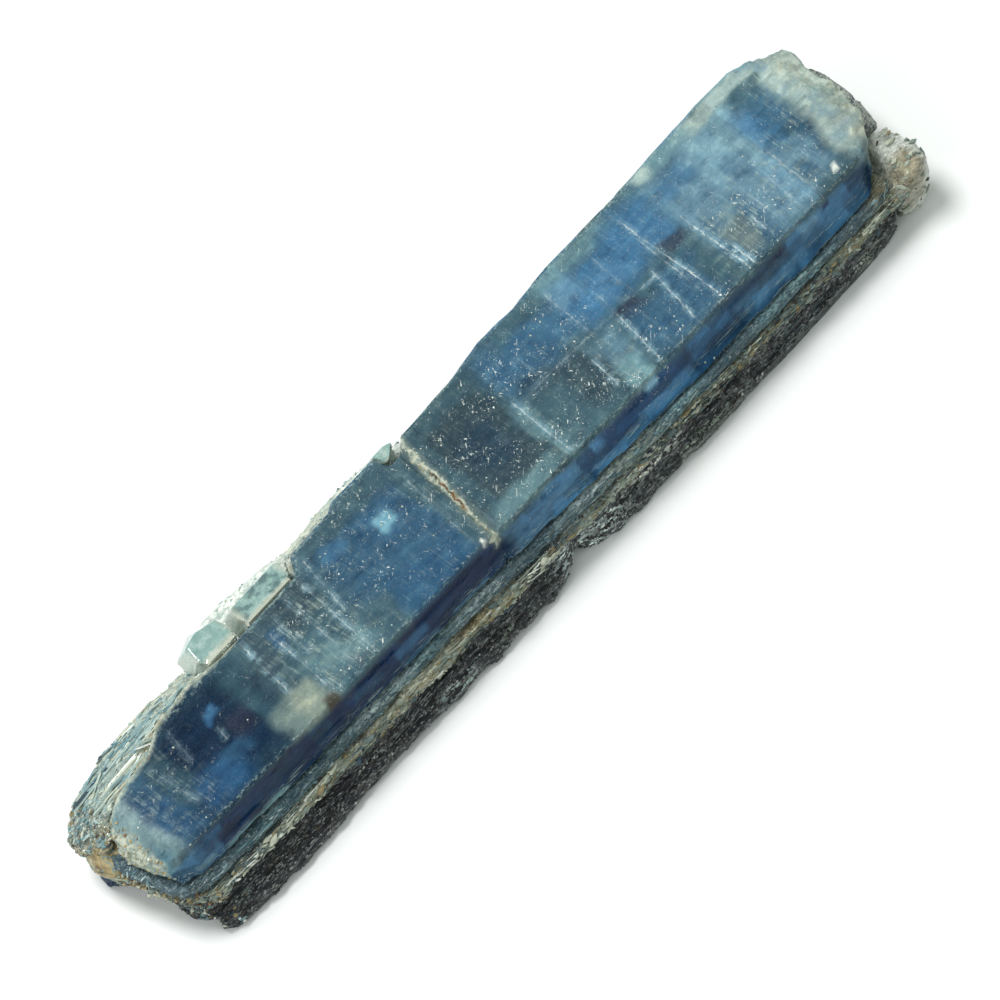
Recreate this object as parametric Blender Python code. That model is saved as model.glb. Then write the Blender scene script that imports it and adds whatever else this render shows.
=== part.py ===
"""A kyanite blade cluster, built in Blender.

A broad blue kyanite blade lies flat on a stack of thinner blades that grew parallel to it. Fibrous and pale
crystals hug its left side, and a seam of black mica schist clings under its right side. Every crystal is one
object. All of them run along X, the top face looks up +Z, and the bevelled side looks to -Y. The origin is
the middle of the cluster at the surface it rests on. Lengths below are in millimetres, and MM turns them
into Blender's metres.
"""

import math

import bmesh
import bpy
import numpy as np
from mathutils import Vector, noise

MM = 0.001

# Driving dimensions, in millimetres.
TOP_Z = 8.0  # the broad top face of the main blade
MAIN_BOTTOM_Z = 4.85
GREY_TOP_Z, GREY_BOTTOM_Z = 4.6, 3.95
CREAM_TOP_Z, CREAM_BOTTOM_Z = 3.7, 2.95
SEAM_TOP_Z = 2.7  # the mica seam and the dark blade, which carry the rest
SIDE_BOTTOM_Z = 2.95
GAP = 0.25  # between blades that touch

MAIN_ENDS = (-33.8, 33.0)
GREY_ENDS = (-34.1, 33.2)
CREAM_ENDS = (-34.6, 34.3)
SEAM_ENDS = (-32.4, 31.0)
DARK_ENDS = (-34.2, 29.5)
SIDE_ENDS = (-34.4, -22.75)
BACK_ENDS = (-21.75, -2.2)

SIDE_LEAN = math.tan(math.radians(16))  # kyanite's side faces stand 106 degrees to its broad face
BEVEL_DROP = 2.75  # height of the dark bevel facet under the ridge
CRACK_X, CRACK_HALF_WIDTH, CRACK_DEPTH = -4.1, 0.3, 0.55  # the parting crack across the main blade
FLAKED_X, FLAKED_HALF_LENGTH, FLAKED_DEPTH = -18.0, 2.6, 0.18  # where the ridge has lost a shallow flake
NOTCH_X, NOTCH_HALF_WIDTH, NOTCH_DEPTH = 0.7, 2.0, 0.95  # the arch in the mica seam's outer foot
NUB_X = 31.6  # past here the cream blade thickens into a blunt end
NUB_LEFT_Y = -3.0
NUB_BOTTOM_Z, NUB_TOP_Z = 0.5, 5.15
END_REACH = 3.2  # how far from an end the fibres bend to follow its broken face
STATION_STEP = 1.35

# Outlines seen from above, as (x, y) points.
MAIN_LEFT = (
    (-33.8, 1.3), (-33.3, 2.0), (-32.0, 2.4), (-28.8, 2.8), (-27.2, 3.6), (-24.0, 4.0), (-22.4, 3.75),
    (-14.2, 3.85), (-13.3, 5.05), (-9.7, 5.1), (-9.0, 5.4), (-5.4, 5.35), (-5.1, 4.2), (-4.3, 4.3),
    (-3.2, 5.05), (1.7, 5.2), (5.0, 5.6), (8.2, 5.45), (11.6, 5.75), (18.2, 5.65), (27.7, 5.9),
    (29.7, 5.75), (31.3, 5.3), (32.4, 4.95), (33.0, 4.4),
)
MAIN_RIDGE = (
    (-33.8, -2.3), (-32.0, -2.9), (-18.5, -3.3), (-4.3, -3.5), (-3.9, -3.65), (10.0, -4.05), (29.5, -4.4),
    (31.5, -4.2), (33.0, -3.7),
)
BEVEL_FLARE = ((-33.8, 0.1), (-6.0, 0.15), (4.0, 0.45), (12.0, 0.75), (33.0, 0.7))
GREY_RIGHT = (
    (-34.1, -3.6), (-32.0, -4.35), (-8.0, -4.8), (0.0, -5.3), (8.0, -5.85), (31.0, -6.1), (33.2, -5.6),
)
CREAM_RIGHT = (
    (-34.6, -3.6), (-32.6, -4.8), (-20.0, -5.25), (-8.0, -5.5), (3.0, -5.9), (20.0, -6.4), (32.0, -6.75),
    (34.3, -7.1),
)
SEAM_FOOT = (
    (-32.4, -5.3), (-29.0, -5.6), (-18.0, -5.9), (-10.0, -6.25), (-4.0, -6.45), (2.5, -6.35), (7.0, -6.6),
    (12.0, -6.8), (22.0, -6.95), (28.0, -6.95), (31.0, -6.5),
)
UNDER_LEFT = (
    (-34.6, 2.2), (-33.0, 2.6), (-22.0, 2.8), (-14.0, 2.8), (-12.5, 3.6), (-2.6, 3.8), (-1.2, 5.1),
    (34.2, 5.3),
)
DARK_LEFT = ((-34.2, 2.4), (-33.2, 3.6), (-30.0, 5.1), (-8.0, 5.5), (12.0, 5.6), (29.5, 4.6))
DARK_RIGHT = -0.2
SEAM_LEFT = -0.5
SIDE_OUTER = (
    (-34.4, 4.4), (-33.6, 5.0), (-31.0, 5.5), (-28.5, 5.85), (-26.0, 5.95), (-24.0, 5.6), (-22.75, 5.65),
)
BACK_OUTER = (
    (-21.75, 6.2), (-20.5, 6.95), (-18.7, 7.05), (-17.0, 7.1), (-14.3, 6.7), (-11.8, 6.35), (-8.6, 6.6),
    (-5.9, 6.55), (-4.0, 6.4), (-2.2, 5.9),
)

# How far each fibre reaches past its blade's nominal end, as (y, reach) points.
MAIN_NEAR_FACE = ((-5.0, 1.2), (-2.5, 0.6), (0.0, 0.0), (4.0, 0.0))
MAIN_FAR_FACE = (
    (-6.0, -2.5), (-4.9, -2.4), (-3.7, -1.7), (-3.0, -0.95), (-2.0, -0.7), (-1.0, -0.6), (0.3, -0.25),
    (1.6, 0.0), (2.4, 0.45), (3.6, 0.75), (4.4, 0.4), (5.2, -0.4),
)
GREY_NEAR_FACE = ((-4.0, 1.1), (-2.0, 0.5), (0.0, 0.0))
GREY_FAR_FACE = (
    (-2.8, -2.1), (-2.6, 0.8), (-1.6, 1.1), (-0.5, 1.5), (1.1, 1.75), (2.3, 1.75), (3.2, 1.4), (3.8, 0.0),
    (5.2, -0.8),
)
CREAM_NEAR_FACE = ((-3.6, 1.6), (-1.3, 0.9), (1.0, 0.0))
SIDE_NEAR_FACE = ((2.2, 0.1), (3.2, -0.2), (4.4, 0.1))
DARK_NEAR_FACE = ((-0.2, 1.9), (0.4, 1.1), (1.0, 0.5), (1.6, 0.0))

# The small pale crystals on the left edge: outlines of their foot and their top face, and their heights.
HEX_FOOT = ((-22.3, 6.3), (-22.5, 4.9), (-21.9, 4.1), (-19.3, 4.1), (-18.9, 4.8), (-19.1, 6.3), (-20.6, 6.95))
HEX_TOP = ((-21.9, 5.8), (-22.1, 4.9), (-21.6, 4.2), (-19.6, 4.2), (-19.2, 4.9), (-19.4, 5.7), (-20.8, 6.05))
HEX_Z = (5.55, 7.5)
BAR_FOOT = ((-18.4, 5.9), (-18.6, 4.8), (-18.3, 4.15), (-14.4, 4.15), (-13.5, 5.35), (-13.9, 6.0))
BAR_TOP = ((-18.1, 5.55), (-18.3, 4.8), (-18.1, 4.25), (-14.6, 4.25), (-13.8, 5.3), (-14.2, 5.6))
BAR_Z = (5.55, 7.2)
CHIP_FOOT = ((-5.5, 6.1), (-5.1, 5.5), (-4.8, 4.55), (-4.3, 4.6), (-3.3, 5.4), (-2.9, 5.8), (-3.8, 6.1))
CHIP_TOP = ((-5.0, 5.45), (-4.8, 5.2), (-4.7, 4.6), (-4.4, 4.65), (-3.7, 5.15), (-3.6, 5.3), (-4.1, 5.45))
CHIP_Z = (5.55, 7.6)


def remove_startup_objects():
    for startup_object in list(bpy.data.objects):
        bpy.data.objects.remove(startup_object)


def finish(name, colour, roughness):
    """A plain stone finish."""
    material = bpy.data.materials.new(name)
    material.use_nodes = True
    shader = material.node_tree.nodes["Principled BSDF"]
    shader.inputs["Base Color"].default_value = (*colour, 1.0)
    shader.inputs["Roughness"].default_value = roughness
    shader.inputs["Metallic"].default_value = 0.0
    return material


def on_line(x, line):
    """The value at x of a line given as points."""
    xs, values = zip(*line)
    return float(np.interp(x, xs, values))


def ragged(x, length, seed):
    """A smooth random line along the blade, within about -1 to 1."""
    return 1.6 * noise.noise(Vector((x / length, 7.3 * seed, 1.9)))


def eased(value, low, high):
    """0 below low, 1 above high, and smooth between."""
    t = min(max((value - low) / (high - low), 0.0), 1.0)
    return t * t * (3 - 2 * t)


def row(left, right, z, shares):
    """Points across a blade at the height z, at the given shares of the way from left to right."""
    return [(left + (right - left) * share, z) for share in shares]


def ledges(x, top, bottom, count, depth, seed, length):
    """Splintered fibres down a side from top to bottom, both (y, z), with ledges up to depth deep."""
    side = []
    for k in range(count):
        share = k / (count - 1)
        y, z = (a + (b - a) * share for a, b in zip(top, bottom))
        side.append((y + depth * (0.5 * (k % 2) + ragged(x, length, seed + k)), z))
    return side


# ---- lofted blades ----


def stations_between(ends, step, extra=()):
    """Where the rings of a blade stand along X: evenly, and wherever extra asks for one."""
    near, far = ends
    extra = [*extra, near, near + 0.5, far - 0.5, far]
    even = np.linspace(near, far, round((far - near) / step) + 1)
    kept = [x for x in even if all(abs(x - e) > 0.4 for e in extra)]
    return sorted([*kept, *extra])


def loft(
    name, ends, section, material, collection, near_face=(), far_face=(), extra=(), step=STATION_STEP
):
    """A blade along X. section(x) gives its upper and lower points, both from left to right.

    near_face and far_face give how far each fibre reaches past the blade's nominal end.
    """
    near, far = ends
    mesh = bmesh.new()
    rings = []
    for x in stations_between(ends, step, extra):
        upper, lower = section(x)
        to_near = max(0.0, 1 - (x - near) / END_REACH)
        to_far = max(0.0, 1 - (far - x) / END_REACH)
        ring = []
        for y, z in [*upper, *reversed(lower)]:
            bend = to_near * broken(near_face, y, z, to_near) + to_far * broken(far_face, y, z, to_far)
            ring.append(mesh.verts.new(Vector((x + bend, y, z)) * MM))
        rings.append(ring)
    for ring, following in zip(rings, rings[1:]):
        for k in range(len(ring)):
            n = (k + 1) % len(ring)
            mesh.faces.new((ring[k], ring[n], following[n], following[k]))
    close_end(mesh, rings[0], near_face, near, outward=-1)
    close_end(mesh, rings[-1], far_face, far, outward=1)
    face_outwards(mesh)
    return add_object(name, mesh, material, collection)


def broken(face, y, z, closeness):
    """How far a fibre reaches past a blade's end, with the roughness of a broken end."""
    reach = on_line(y, face) if face else 0.0
    return reach + 0.1 * closeness * ragged(y, 0.8, 0.6 * z)


def close_end(mesh, ring, face, end, outward):
    """Closes a ring with a rough broken face: a row of points between its upper and its lower half."""
    half = len(ring) // 2
    pairs = [(ring[k], ring[-1 - k]) for k in range(half)]
    middles = []
    for high, low in pairs[1:-1]:
        place = (high.co + low.co) / 2
        swell = min(0.25, 0.3 * (high.co - low.co).length / MM)
        reach = broken(face, place.y / MM, place.z / MM, 1.0)
        place.x = (end + reach + outward * swell * (1 + 0.5 * ragged(place.y / MM, 0.7, 5))) * MM
        middles.append(mesh.verts.new(place))
    inner = pairs[1:-1]
    for (high, low), (next_high, next_low), middle, following in zip(inner, inner[1:], middles, middles[1:]):
        mesh.faces.new((high, next_high, following, middle))
        mesh.faces.new((middle, following, next_low, low))
    for (high, low), (next_high, next_low), middle in (
        (pairs[0], pairs[1], middles[0]), (pairs[-1], pairs[-2], middles[-1]),
    ):
        mesh.faces.new((high, next_high, middle))
        mesh.faces.new((high, middle, low))
        mesh.faces.new((low, middle, next_low))


def face_outwards(mesh):
    bmesh.ops.recalc_face_normals(mesh, faces=mesh.faces)
    if mesh.calc_volume(signed=True) < 0:
        bmesh.ops.reverse_faces(mesh, faces=mesh.faces)


def add_object(name, mesh, material, collection):
    data = bpy.data.meshes.new(name)
    mesh.to_mesh(data)
    mesh.free()
    data.materials.append(material)
    crystal = bpy.data.objects.new(name, data)
    collection.objects.link(crystal)
    return crystal


# ---- the main blade ----


def crack_depth(x):
    return CRACK_DEPTH * (1 - eased(abs(x - CRACK_X), 0.0, CRACK_HALF_WIDTH))


def main_top(x, y):
    """Height of the broad face, which sinks at the crack and the flake and rounds off at the ends."""
    near, far = MAIN_ENDS
    near_half = 0.12 * (1 - eased(x, CRACK_X - 0.2, CRACK_X + 0.2))
    near_end = 1.3 * (1 - eased(x, near, near + 1.6)) ** 2
    far_end = 0.6 * eased(x, far - 2.2, far) ** 2
    growth_step = 0.09 * eased(y, 0.3, 0.5) * eased(x, 9.0, 10.0)
    flaked = FLAKED_DEPTH * (1 - eased(abs(x - FLAKED_X), 1.4, FLAKED_HALF_LENGTH)) * eased(-y, 1.4, 1.9)
    swell = 0.05 * ragged(x, 5.0, round(y))
    return TOP_Z - crack_depth(x) - near_half - near_end - far_end - growth_step - flaked + swell


def main_section(x):
    left = on_line(x, MAIN_LEFT) + 0.06 * ragged(x, 1.6, 3)
    ridge = on_line(x, MAIN_RIDGE)
    height = TOP_Z - MAIN_BOTTOM_Z
    across = [y for y, _ in row(left - 0.15, ridge, TOP_Z, (0, 0.1, 0.25, 0.42, 0.5, 0.62, 0.8, 1))]
    top = [(y, main_top(x, y)) for y in across]
    bevel_foot = (ridge - SIDE_LEAN * BEVEL_DROP + 0.6 * crack_depth(x), TOP_Z - BEVEL_DROP)
    bevel_middle = ((ridge + bevel_foot[0]) / 2 + 0.04 * ragged(x, 1.5, 8), (top[-1][1] + bevel_foot[1]) / 2)
    flare_foot = bevel_foot[0] - on_line(x, BEVEL_FLARE)
    left_foot = left - SIDE_LEAN * height
    left_middle = (left - 0.4 * SIDE_LEAN * height + 0.1 * ragged(x, 2.0, 15), TOP_Z - 1.3)
    upper = [(left, top[0][1] - 0.25), *top, bevel_middle]
    floor = row(left_foot, flare_foot, MAIN_BOTTOM_Z, (0, 0.1, 0.25, 0.42, 0.55, 0.7, 0.85, 1))
    lower = [left_middle, *floor, bevel_foot]
    return upper, lower


def make_main_blade(collection):
    crack = [CRACK_X + k * CRACK_HALF_WIDTH for k in (-1.0, -0.4, 0.4, 1.0)]
    corners = [x for x, _ in MAIN_LEFT[2:-3] if abs(x - CRACK_X) > 0.6]
    return loft(
        "main_blade", MAIN_ENDS, main_section, finish("blue_kyanite", (0.07, 0.14, 0.25), 0.3), collection,
        MAIN_NEAR_FACE, MAIN_FAR_FACE, extra=[*crack, *corners], step=1.1,
    )


# ---- the thin blades under it ----


def grey_section(x):
    right = on_line(x, GREY_RIGHT)
    left = on_line(x, UNDER_LEFT) + 0.15 * ragged(x, 3.0, 21)
    tongue_side = [(-2.58, GREY_TOP_Z), (-2.82, GREY_TOP_Z)]
    inner = row(left - 0.1, -2.58, GREY_TOP_Z, (0, 0.3, 0.55, 0.8))
    side = ledges(x, (right + 0.1, GREY_TOP_Z), (right - 0.1, GREY_BOTTOM_Z), 4, 0.12, 11, 1.9)
    upper = [*inner, *tongue_side, *side[:2]]
    lower = [(y, GREY_BOTTOM_Z) for y, _ in [*inner, *tongue_side]] + [side[3], side[2]]
    return upper, lower


def make_grey_blade(collection):
    return loft(
        "grey_blade", GREY_ENDS, grey_section, finish("grey_kyanite", (0.16, 0.2, 0.22), 0.45), collection,
        GREY_NEAR_FACE, GREY_FAR_FACE, step=1.6,
    )


def cream_section(x):
    nub = eased(x, NUB_X, NUB_X + 0.5)
    blunt = eased(x, NUB_X + 0.4, NUB_X + 1.1)
    rounding = 0.4 * eased(x, CREAM_ENDS[1] - 0.9, CREAM_ENDS[1])
    right = on_line(x, CREAM_RIGHT) + rounding
    under_left = on_line(x, UNDER_LEFT) + 0.2
    left = under_left + nub * (NUB_LEFT_Y - under_left) - rounding
    bottom = CREAM_BOTTOM_Z + nub * (NUB_BOTTOM_Z - CREAM_BOTTOM_Z) + rounding
    top = CREAM_TOP_Z + blunt * (NUB_TOP_Z - CREAM_TOP_Z) - rounding
    lump = 0.22 * blunt * ragged(x, 0.9, 27)
    side = ledges(x, (right + 0.25, top - 0.1 * blunt), (right - 0.15, bottom), 6, 0.15, 31, 1.7)
    upper = [*row(left, right + 0.6, top, (0, 0.35, 0.7)), (right + 0.6, top + lump), *side[:3]]
    lower = [*row(left - 0.2, right + 0.5, bottom, (0, 0.35, 0.7, 1)), *reversed(side[3:])]
    return upper, lower


def make_cream_blade(collection):
    turns = [NUB_X, NUB_X + 0.45, NUB_X + 0.9, NUB_X + 1.35, NUB_X + 1.8]
    return loft(
        "cream_blade", CREAM_ENDS, cream_section, finish("cream_kyanite", (0.34, 0.33, 0.25), 0.55),
        collection, CREAM_NEAR_FACE, extra=turns,
    )


def seam_section(x):
    """A crust of mica flakes with ledges down its outer side and an arch in its foot."""
    notch = 1 - eased(abs(x - NOTCH_X), 0.25, NOTCH_HALF_WIDTH)
    foot = on_line(x, SEAM_FOOT) + NOTCH_DEPTH * notch
    brow = on_line(x, CREAM_RIGHT) + 0.2
    lift = 0.8 * notch
    side = ledges(x, (brow, SEAM_TOP_Z), (foot, 0.35 + lift), 6, 0.2, 41, 1.1)
    upper = [*row(SEAM_LEFT, brow + 0.5, SEAM_TOP_Z, (0, 0.5, 1)), *side[:3]]
    lower = [(SEAM_LEFT, 0.0), (0.5 * foot, 0.0), (foot + 0.4, 0.6 * lift), *reversed(side[3:])]
    return upper, lower


def make_mica_seam(collection):
    arch = [NOTCH_X + k for k in (-2.0, -1.2, -0.5, 0.1, 0.6, 1.2, 2.0)]
    return loft(
        "mica_seam", SEAM_ENDS, seam_section, finish("black_mica", (0.025, 0.022, 0.025), 0.4), collection,
        extra=arch, step=0.85,
    )


def dark_section(x):
    left = on_line(x, DARK_LEFT) + 0.12 * ragged(x, 2.5, 51)
    taper = 0.5 * (1 - eased(x, DARK_ENDS[0], DARK_ENDS[0] + 1.5))
    top, bottom = SEAM_TOP_Z - taper, 0.6 * taper
    side = ledges(x, (left - 0.2, top - 0.25), (left - 0.3, 0.35 + bottom), 4, 0.2, 61, 1.9)
    upper = [*reversed(side[:2]), *row(left - 0.6, DARK_RIGHT + 0.1, top, (0, 0.4, 0.8, 1))]
    lower = [*side[2:], *row(left - 0.7, DARK_RIGHT + 0.2, bottom, (0, 0.4, 0.8, 1))]
    return upper, lower


def make_dark_blade(collection):
    return loft(
        "dark_blade", DARK_ENDS, dark_section, finish("dark_kyanite", (0.03, 0.045, 0.08), 0.3), collection,
        DARK_NEAR_FACE, step=1.6,
    )


# ---- the crystals on the left side ----


def inner_foot(x, inner):
    """Where the foot of a left side crystal starts, clear of the thin blades and no further in than inner."""
    return max(inner, on_line(x, UNDER_LEFT) + 0.4 + GAP)


def side_section(x):
    """A bundle of fibres: its back leans on the main blade, and its top slopes down and out in ridges."""
    inner = on_line(x, MAIN_LEFT) + GAP
    outer = on_line(x, SIDE_OUTER)
    foot = inner_foot(x, inner)
    taper = 1 - eased(x, SIDE_ENDS[0], SIDE_ENDS[0] + 2.4)
    crest, brow = 6.9 - 1.6 * taper, 5.2 - 0.7 * taper
    ridges = []
    for k in range(8):
        y, z = (a + (b - a) * k / 7 for a, b in zip((outer, brow), (inner + 0.1, crest)))
        ridges.append((y, z + 0.16 * (k % 2 - 0.5) + 0.08 * ragged(x, 1.9, 71 + k)))
    outside = [(outer + 0.12 * ragged(x, 1.6, 81), 4.5), (outer - 0.1, 3.9)]
    outside.append((outer - 0.35, SIDE_BOTTOM_Z + 0.35))
    floor = row(outer - 0.5, foot + 0.2, SIDE_BOTTOM_Z, (0, 0.33, 0.66, 1))
    return [*ridges, (inner, crest - 0.5)], [*outside, *floor, (foot, 3.9), (foot, 4.7)]


def make_side_blade(collection):
    return loft(
        "side_blade", SIDE_ENDS, side_section, finish("green_kyanite", (0.33, 0.38, 0.34), 0.55), collection,
        SIDE_NEAR_FACE, extra=[-28.8, -27.2, -24.0], step=0.8,
    )


def back_section(x):
    """A pale wedge that peeps out beside the main blade and carries the small crystals."""
    inner = on_line(x, MAIN_LEFT) - SIDE_LEAN * (TOP_Z - 5.3) + GAP
    outer = on_line(x, BACK_OUTER) + 0.06 * ragged(x, 1.5, 91)
    foot = inner_foot(x, inner)
    step = 0.12 * ragged(x, 2.2, 95)
    rim = [(outer, 4.5), (outer - 0.05, 5.0 + step), (outer - 0.3, 5.3)]
    upper = [*rim, *row(outer - 0.7, inner, 5.3, (0, 0.6, 1))]
    floor = row(outer - 0.5, foot + 0.15, SIDE_BOTTOM_Z, (0, 0.5, 1))
    lower = [(outer - 0.2, 3.6), *floor, (foot, 3.8), (foot, 4.6)]
    return upper, lower


def make_back_blade(collection):
    return loft(
        "back_blade", BACK_ENDS, back_section, finish("pale_kyanite", (0.55, 0.6, 0.54), 0.4), collection,
        extra=[-14.2, -13.3, -5.4, -5.0],
    )


def make_facet_crystal(name, foot, top, heights, colour, collection):
    """A small flat-faced crystal: the convex hull of its foot and its top face."""
    mesh = bmesh.new()
    for outline, height in zip((foot, top), heights):
        for x, y in outline:
            mesh.verts.new((x * MM, y * MM, height * MM))
    hull = bmesh.ops.convex_hull(mesh, input=mesh.verts)
    bmesh.ops.delete(mesh, geom=hull["geom_interior"], context="VERTS")
    face_outwards(mesh)
    return add_object(name, mesh, finish(name + "_stone", colour, 0.25), collection)


def centre_on_origin(crystals):
    """Moves every crystal sideways by the same amount, so the middle of their box is at the origin."""
    points = np.array([v.co for crystal in crystals for v in crystal.data.vertices])
    middle = (points.min(axis=0) + points.max(axis=0)) / 2
    for crystal in crystals:
        for v in crystal.data.vertices:
            v.co.x -= middle[0]
            v.co.y -= middle[1]


def main():
    remove_startup_objects()
    cluster = bpy.data.collections.new("kyanite_blade_cluster")
    bpy.context.scene.collection.children.link(cluster)
    crystals = [
        make_main_blade(cluster),
        make_grey_blade(cluster),
        make_cream_blade(cluster),
        make_mica_seam(cluster),
        make_dark_blade(cluster),
        make_side_blade(cluster),
        make_back_blade(cluster),
        make_facet_crystal("hex_crystal", HEX_FOOT, HEX_TOP, HEX_Z, (0.45, 0.56, 0.58), cluster),
        make_facet_crystal("bar_crystal", BAR_FOOT, BAR_TOP, BAR_Z, (0.4, 0.48, 0.46), cluster),
        make_facet_crystal("corner_chip", CHIP_FOOT, CHIP_TOP, CHIP_Z, (0.5, 0.56, 0.5), cluster),
    ]
    centre_on_origin(crystals)


main()
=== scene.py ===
"""The looks of the kyanite blade cluster.

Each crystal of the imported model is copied, given a fine even mesh, and shaped: parting grooves and cleavage
steps on the broad blue blade, fibres and splinters on the blades under it, a crust of mica flakes. Places and
lengths are in millimetres in the part's own frame: X along the blades, +Z up, the bevelled side looks to -Y.
"""

import itertools
import math

import bmesh
import bpy
import numpy as np
from mathutils import Matrix, Vector


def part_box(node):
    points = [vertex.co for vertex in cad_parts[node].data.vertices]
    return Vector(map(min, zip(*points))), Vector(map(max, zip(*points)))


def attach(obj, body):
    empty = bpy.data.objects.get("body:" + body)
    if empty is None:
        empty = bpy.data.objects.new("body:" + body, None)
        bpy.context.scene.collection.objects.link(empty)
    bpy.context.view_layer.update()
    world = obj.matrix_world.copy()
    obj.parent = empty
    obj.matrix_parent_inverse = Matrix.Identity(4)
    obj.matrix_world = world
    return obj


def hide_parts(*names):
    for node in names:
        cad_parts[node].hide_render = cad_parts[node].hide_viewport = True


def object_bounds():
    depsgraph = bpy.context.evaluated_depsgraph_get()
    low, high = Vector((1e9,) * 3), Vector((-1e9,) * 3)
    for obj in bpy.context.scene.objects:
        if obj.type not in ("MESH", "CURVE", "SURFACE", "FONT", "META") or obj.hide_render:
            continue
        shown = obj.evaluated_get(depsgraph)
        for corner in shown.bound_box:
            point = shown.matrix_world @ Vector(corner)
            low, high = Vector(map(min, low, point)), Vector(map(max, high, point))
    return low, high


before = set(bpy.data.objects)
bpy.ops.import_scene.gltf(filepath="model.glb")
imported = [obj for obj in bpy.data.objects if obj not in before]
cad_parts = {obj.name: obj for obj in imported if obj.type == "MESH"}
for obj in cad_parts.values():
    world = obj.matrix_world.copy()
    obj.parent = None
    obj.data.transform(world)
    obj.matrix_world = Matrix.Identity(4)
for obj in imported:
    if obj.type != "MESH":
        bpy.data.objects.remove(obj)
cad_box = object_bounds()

MM = 0.001

# The camera and the light.
TARGET = Vector((-1.0, -1.12, 4.0))  # the middle of the picture
CAMERA_DISTANCE = 450.0
CAMERA_AZIMUTH, CAMERA_ELEVATION = -50.64, 62.0
LENS, SENSOR = 267.3, 36.0  # focal length and sensor width
KEY_LIGHT = ((-85, 170, 410), 1.72, 190)  # place, watts and diameter
FILL_LIGHT = ((-330, 20, 230), 0.45, 300)
ROOM_COLOUR, ROOM_LIGHT = (0.9, 1.0, 0.95), 0.45
FLOOR_WHITE, FLOOR_SIZE = (0.9, 0.9, 0.9), 1600

# How the stone takes light.
KYANITE_IOR, MICA_IOR = 1.72, 1.6
CRYSTAL_CLEARNESS = 0.35  # the share of light that goes through a small pale crystal
CRYSTAL_ABSORPTION, CRYSTAL_DENSITY = (0.55, 0.85, 0.9), 90.0

# Stone colours, as linear values.
INK = (0.003, 0.018, 0.06)
NAVY = (0.008, 0.036, 0.08)
PURPLE = (0.022, 0.03, 0.055)
DEEP_BLUE = (0.02, 0.078, 0.16)
STEEL = (0.033, 0.095, 0.165)
BLUE = (0.042, 0.13, 0.24)
SKY = (0.068, 0.185, 0.32)
MISTY_BLUE = (0.125, 0.24, 0.325)
PALE_BLUE = (0.175, 0.315, 0.39)
GLOW = (0.2, 0.42, 0.52)
SLATE = (0.03, 0.058, 0.077)
TEAL_GREY = (0.046, 0.098, 0.125)
MIST = (0.14, 0.26, 0.29)
PALE = (0.36, 0.46, 0.43)
BEIGE = (0.22, 0.27, 0.23)
CREAM = (0.52, 0.54, 0.43)
TAN = (0.27, 0.22, 0.11)
RUST = (0.17, 0.08, 0.035)
BROWN = (0.06, 0.05, 0.035)
WHITE = (0.8, 0.84, 0.78)
OCHRE = (0.4, 0.31, 0.15)
GREEN_GREY = (0.1, 0.14, 0.135)
TONGUE_GREY = (0.4, 0.42, 0.37)
DIM_TEAL = (0.075, 0.125, 0.15)
SILVER = (0.36, 0.46, 0.47)
SOOT = (0.008, 0.008, 0.011)
JET = (0.012, 0.012, 0.016)
PITCH = (0.02, 0.018, 0.018)
MICA_BLACK = (0.026, 0.03, 0.04)
MICA_GREY = (0.1, 0.12, 0.125)
ASH = (0.1, 0.11, 0.1)
TIN = (0.4, 0.43, 0.4)
MICA_THREAD = (0.42, 0.45, 0.41)
# A painted glint for small mica chips.
PAINTED_MICA_GLINT = (0.5, 0.53, 0.5)
# Grey-white flakes with a painted silvery highlight, for the notch in the mica.
SILVER_FLAKES_AND_HIGHLIGHT = (0.62, 0.74, 0.74)
DEEP_AQUA = (0.11, 0.19, 0.21)
FIBRE_PALE = (0.5, 0.56, 0.47)
AQUA = (0.34, 0.54, 0.5)
RIM_CREAM = (0.66, 0.68, 0.56)
# Painted light: a paler aqua that lifts the shade on the side faces of the small crystals.
PAINTED_LIGHT_AQUA = (0.6, 0.72, 0.66)
SEAM_CREAM = (0.55, 0.48, 0.3)
DARK_NAVY = (0.006, 0.026, 0.058)
MIDNIGHT = (0.006, 0.034, 0.09)

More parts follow.
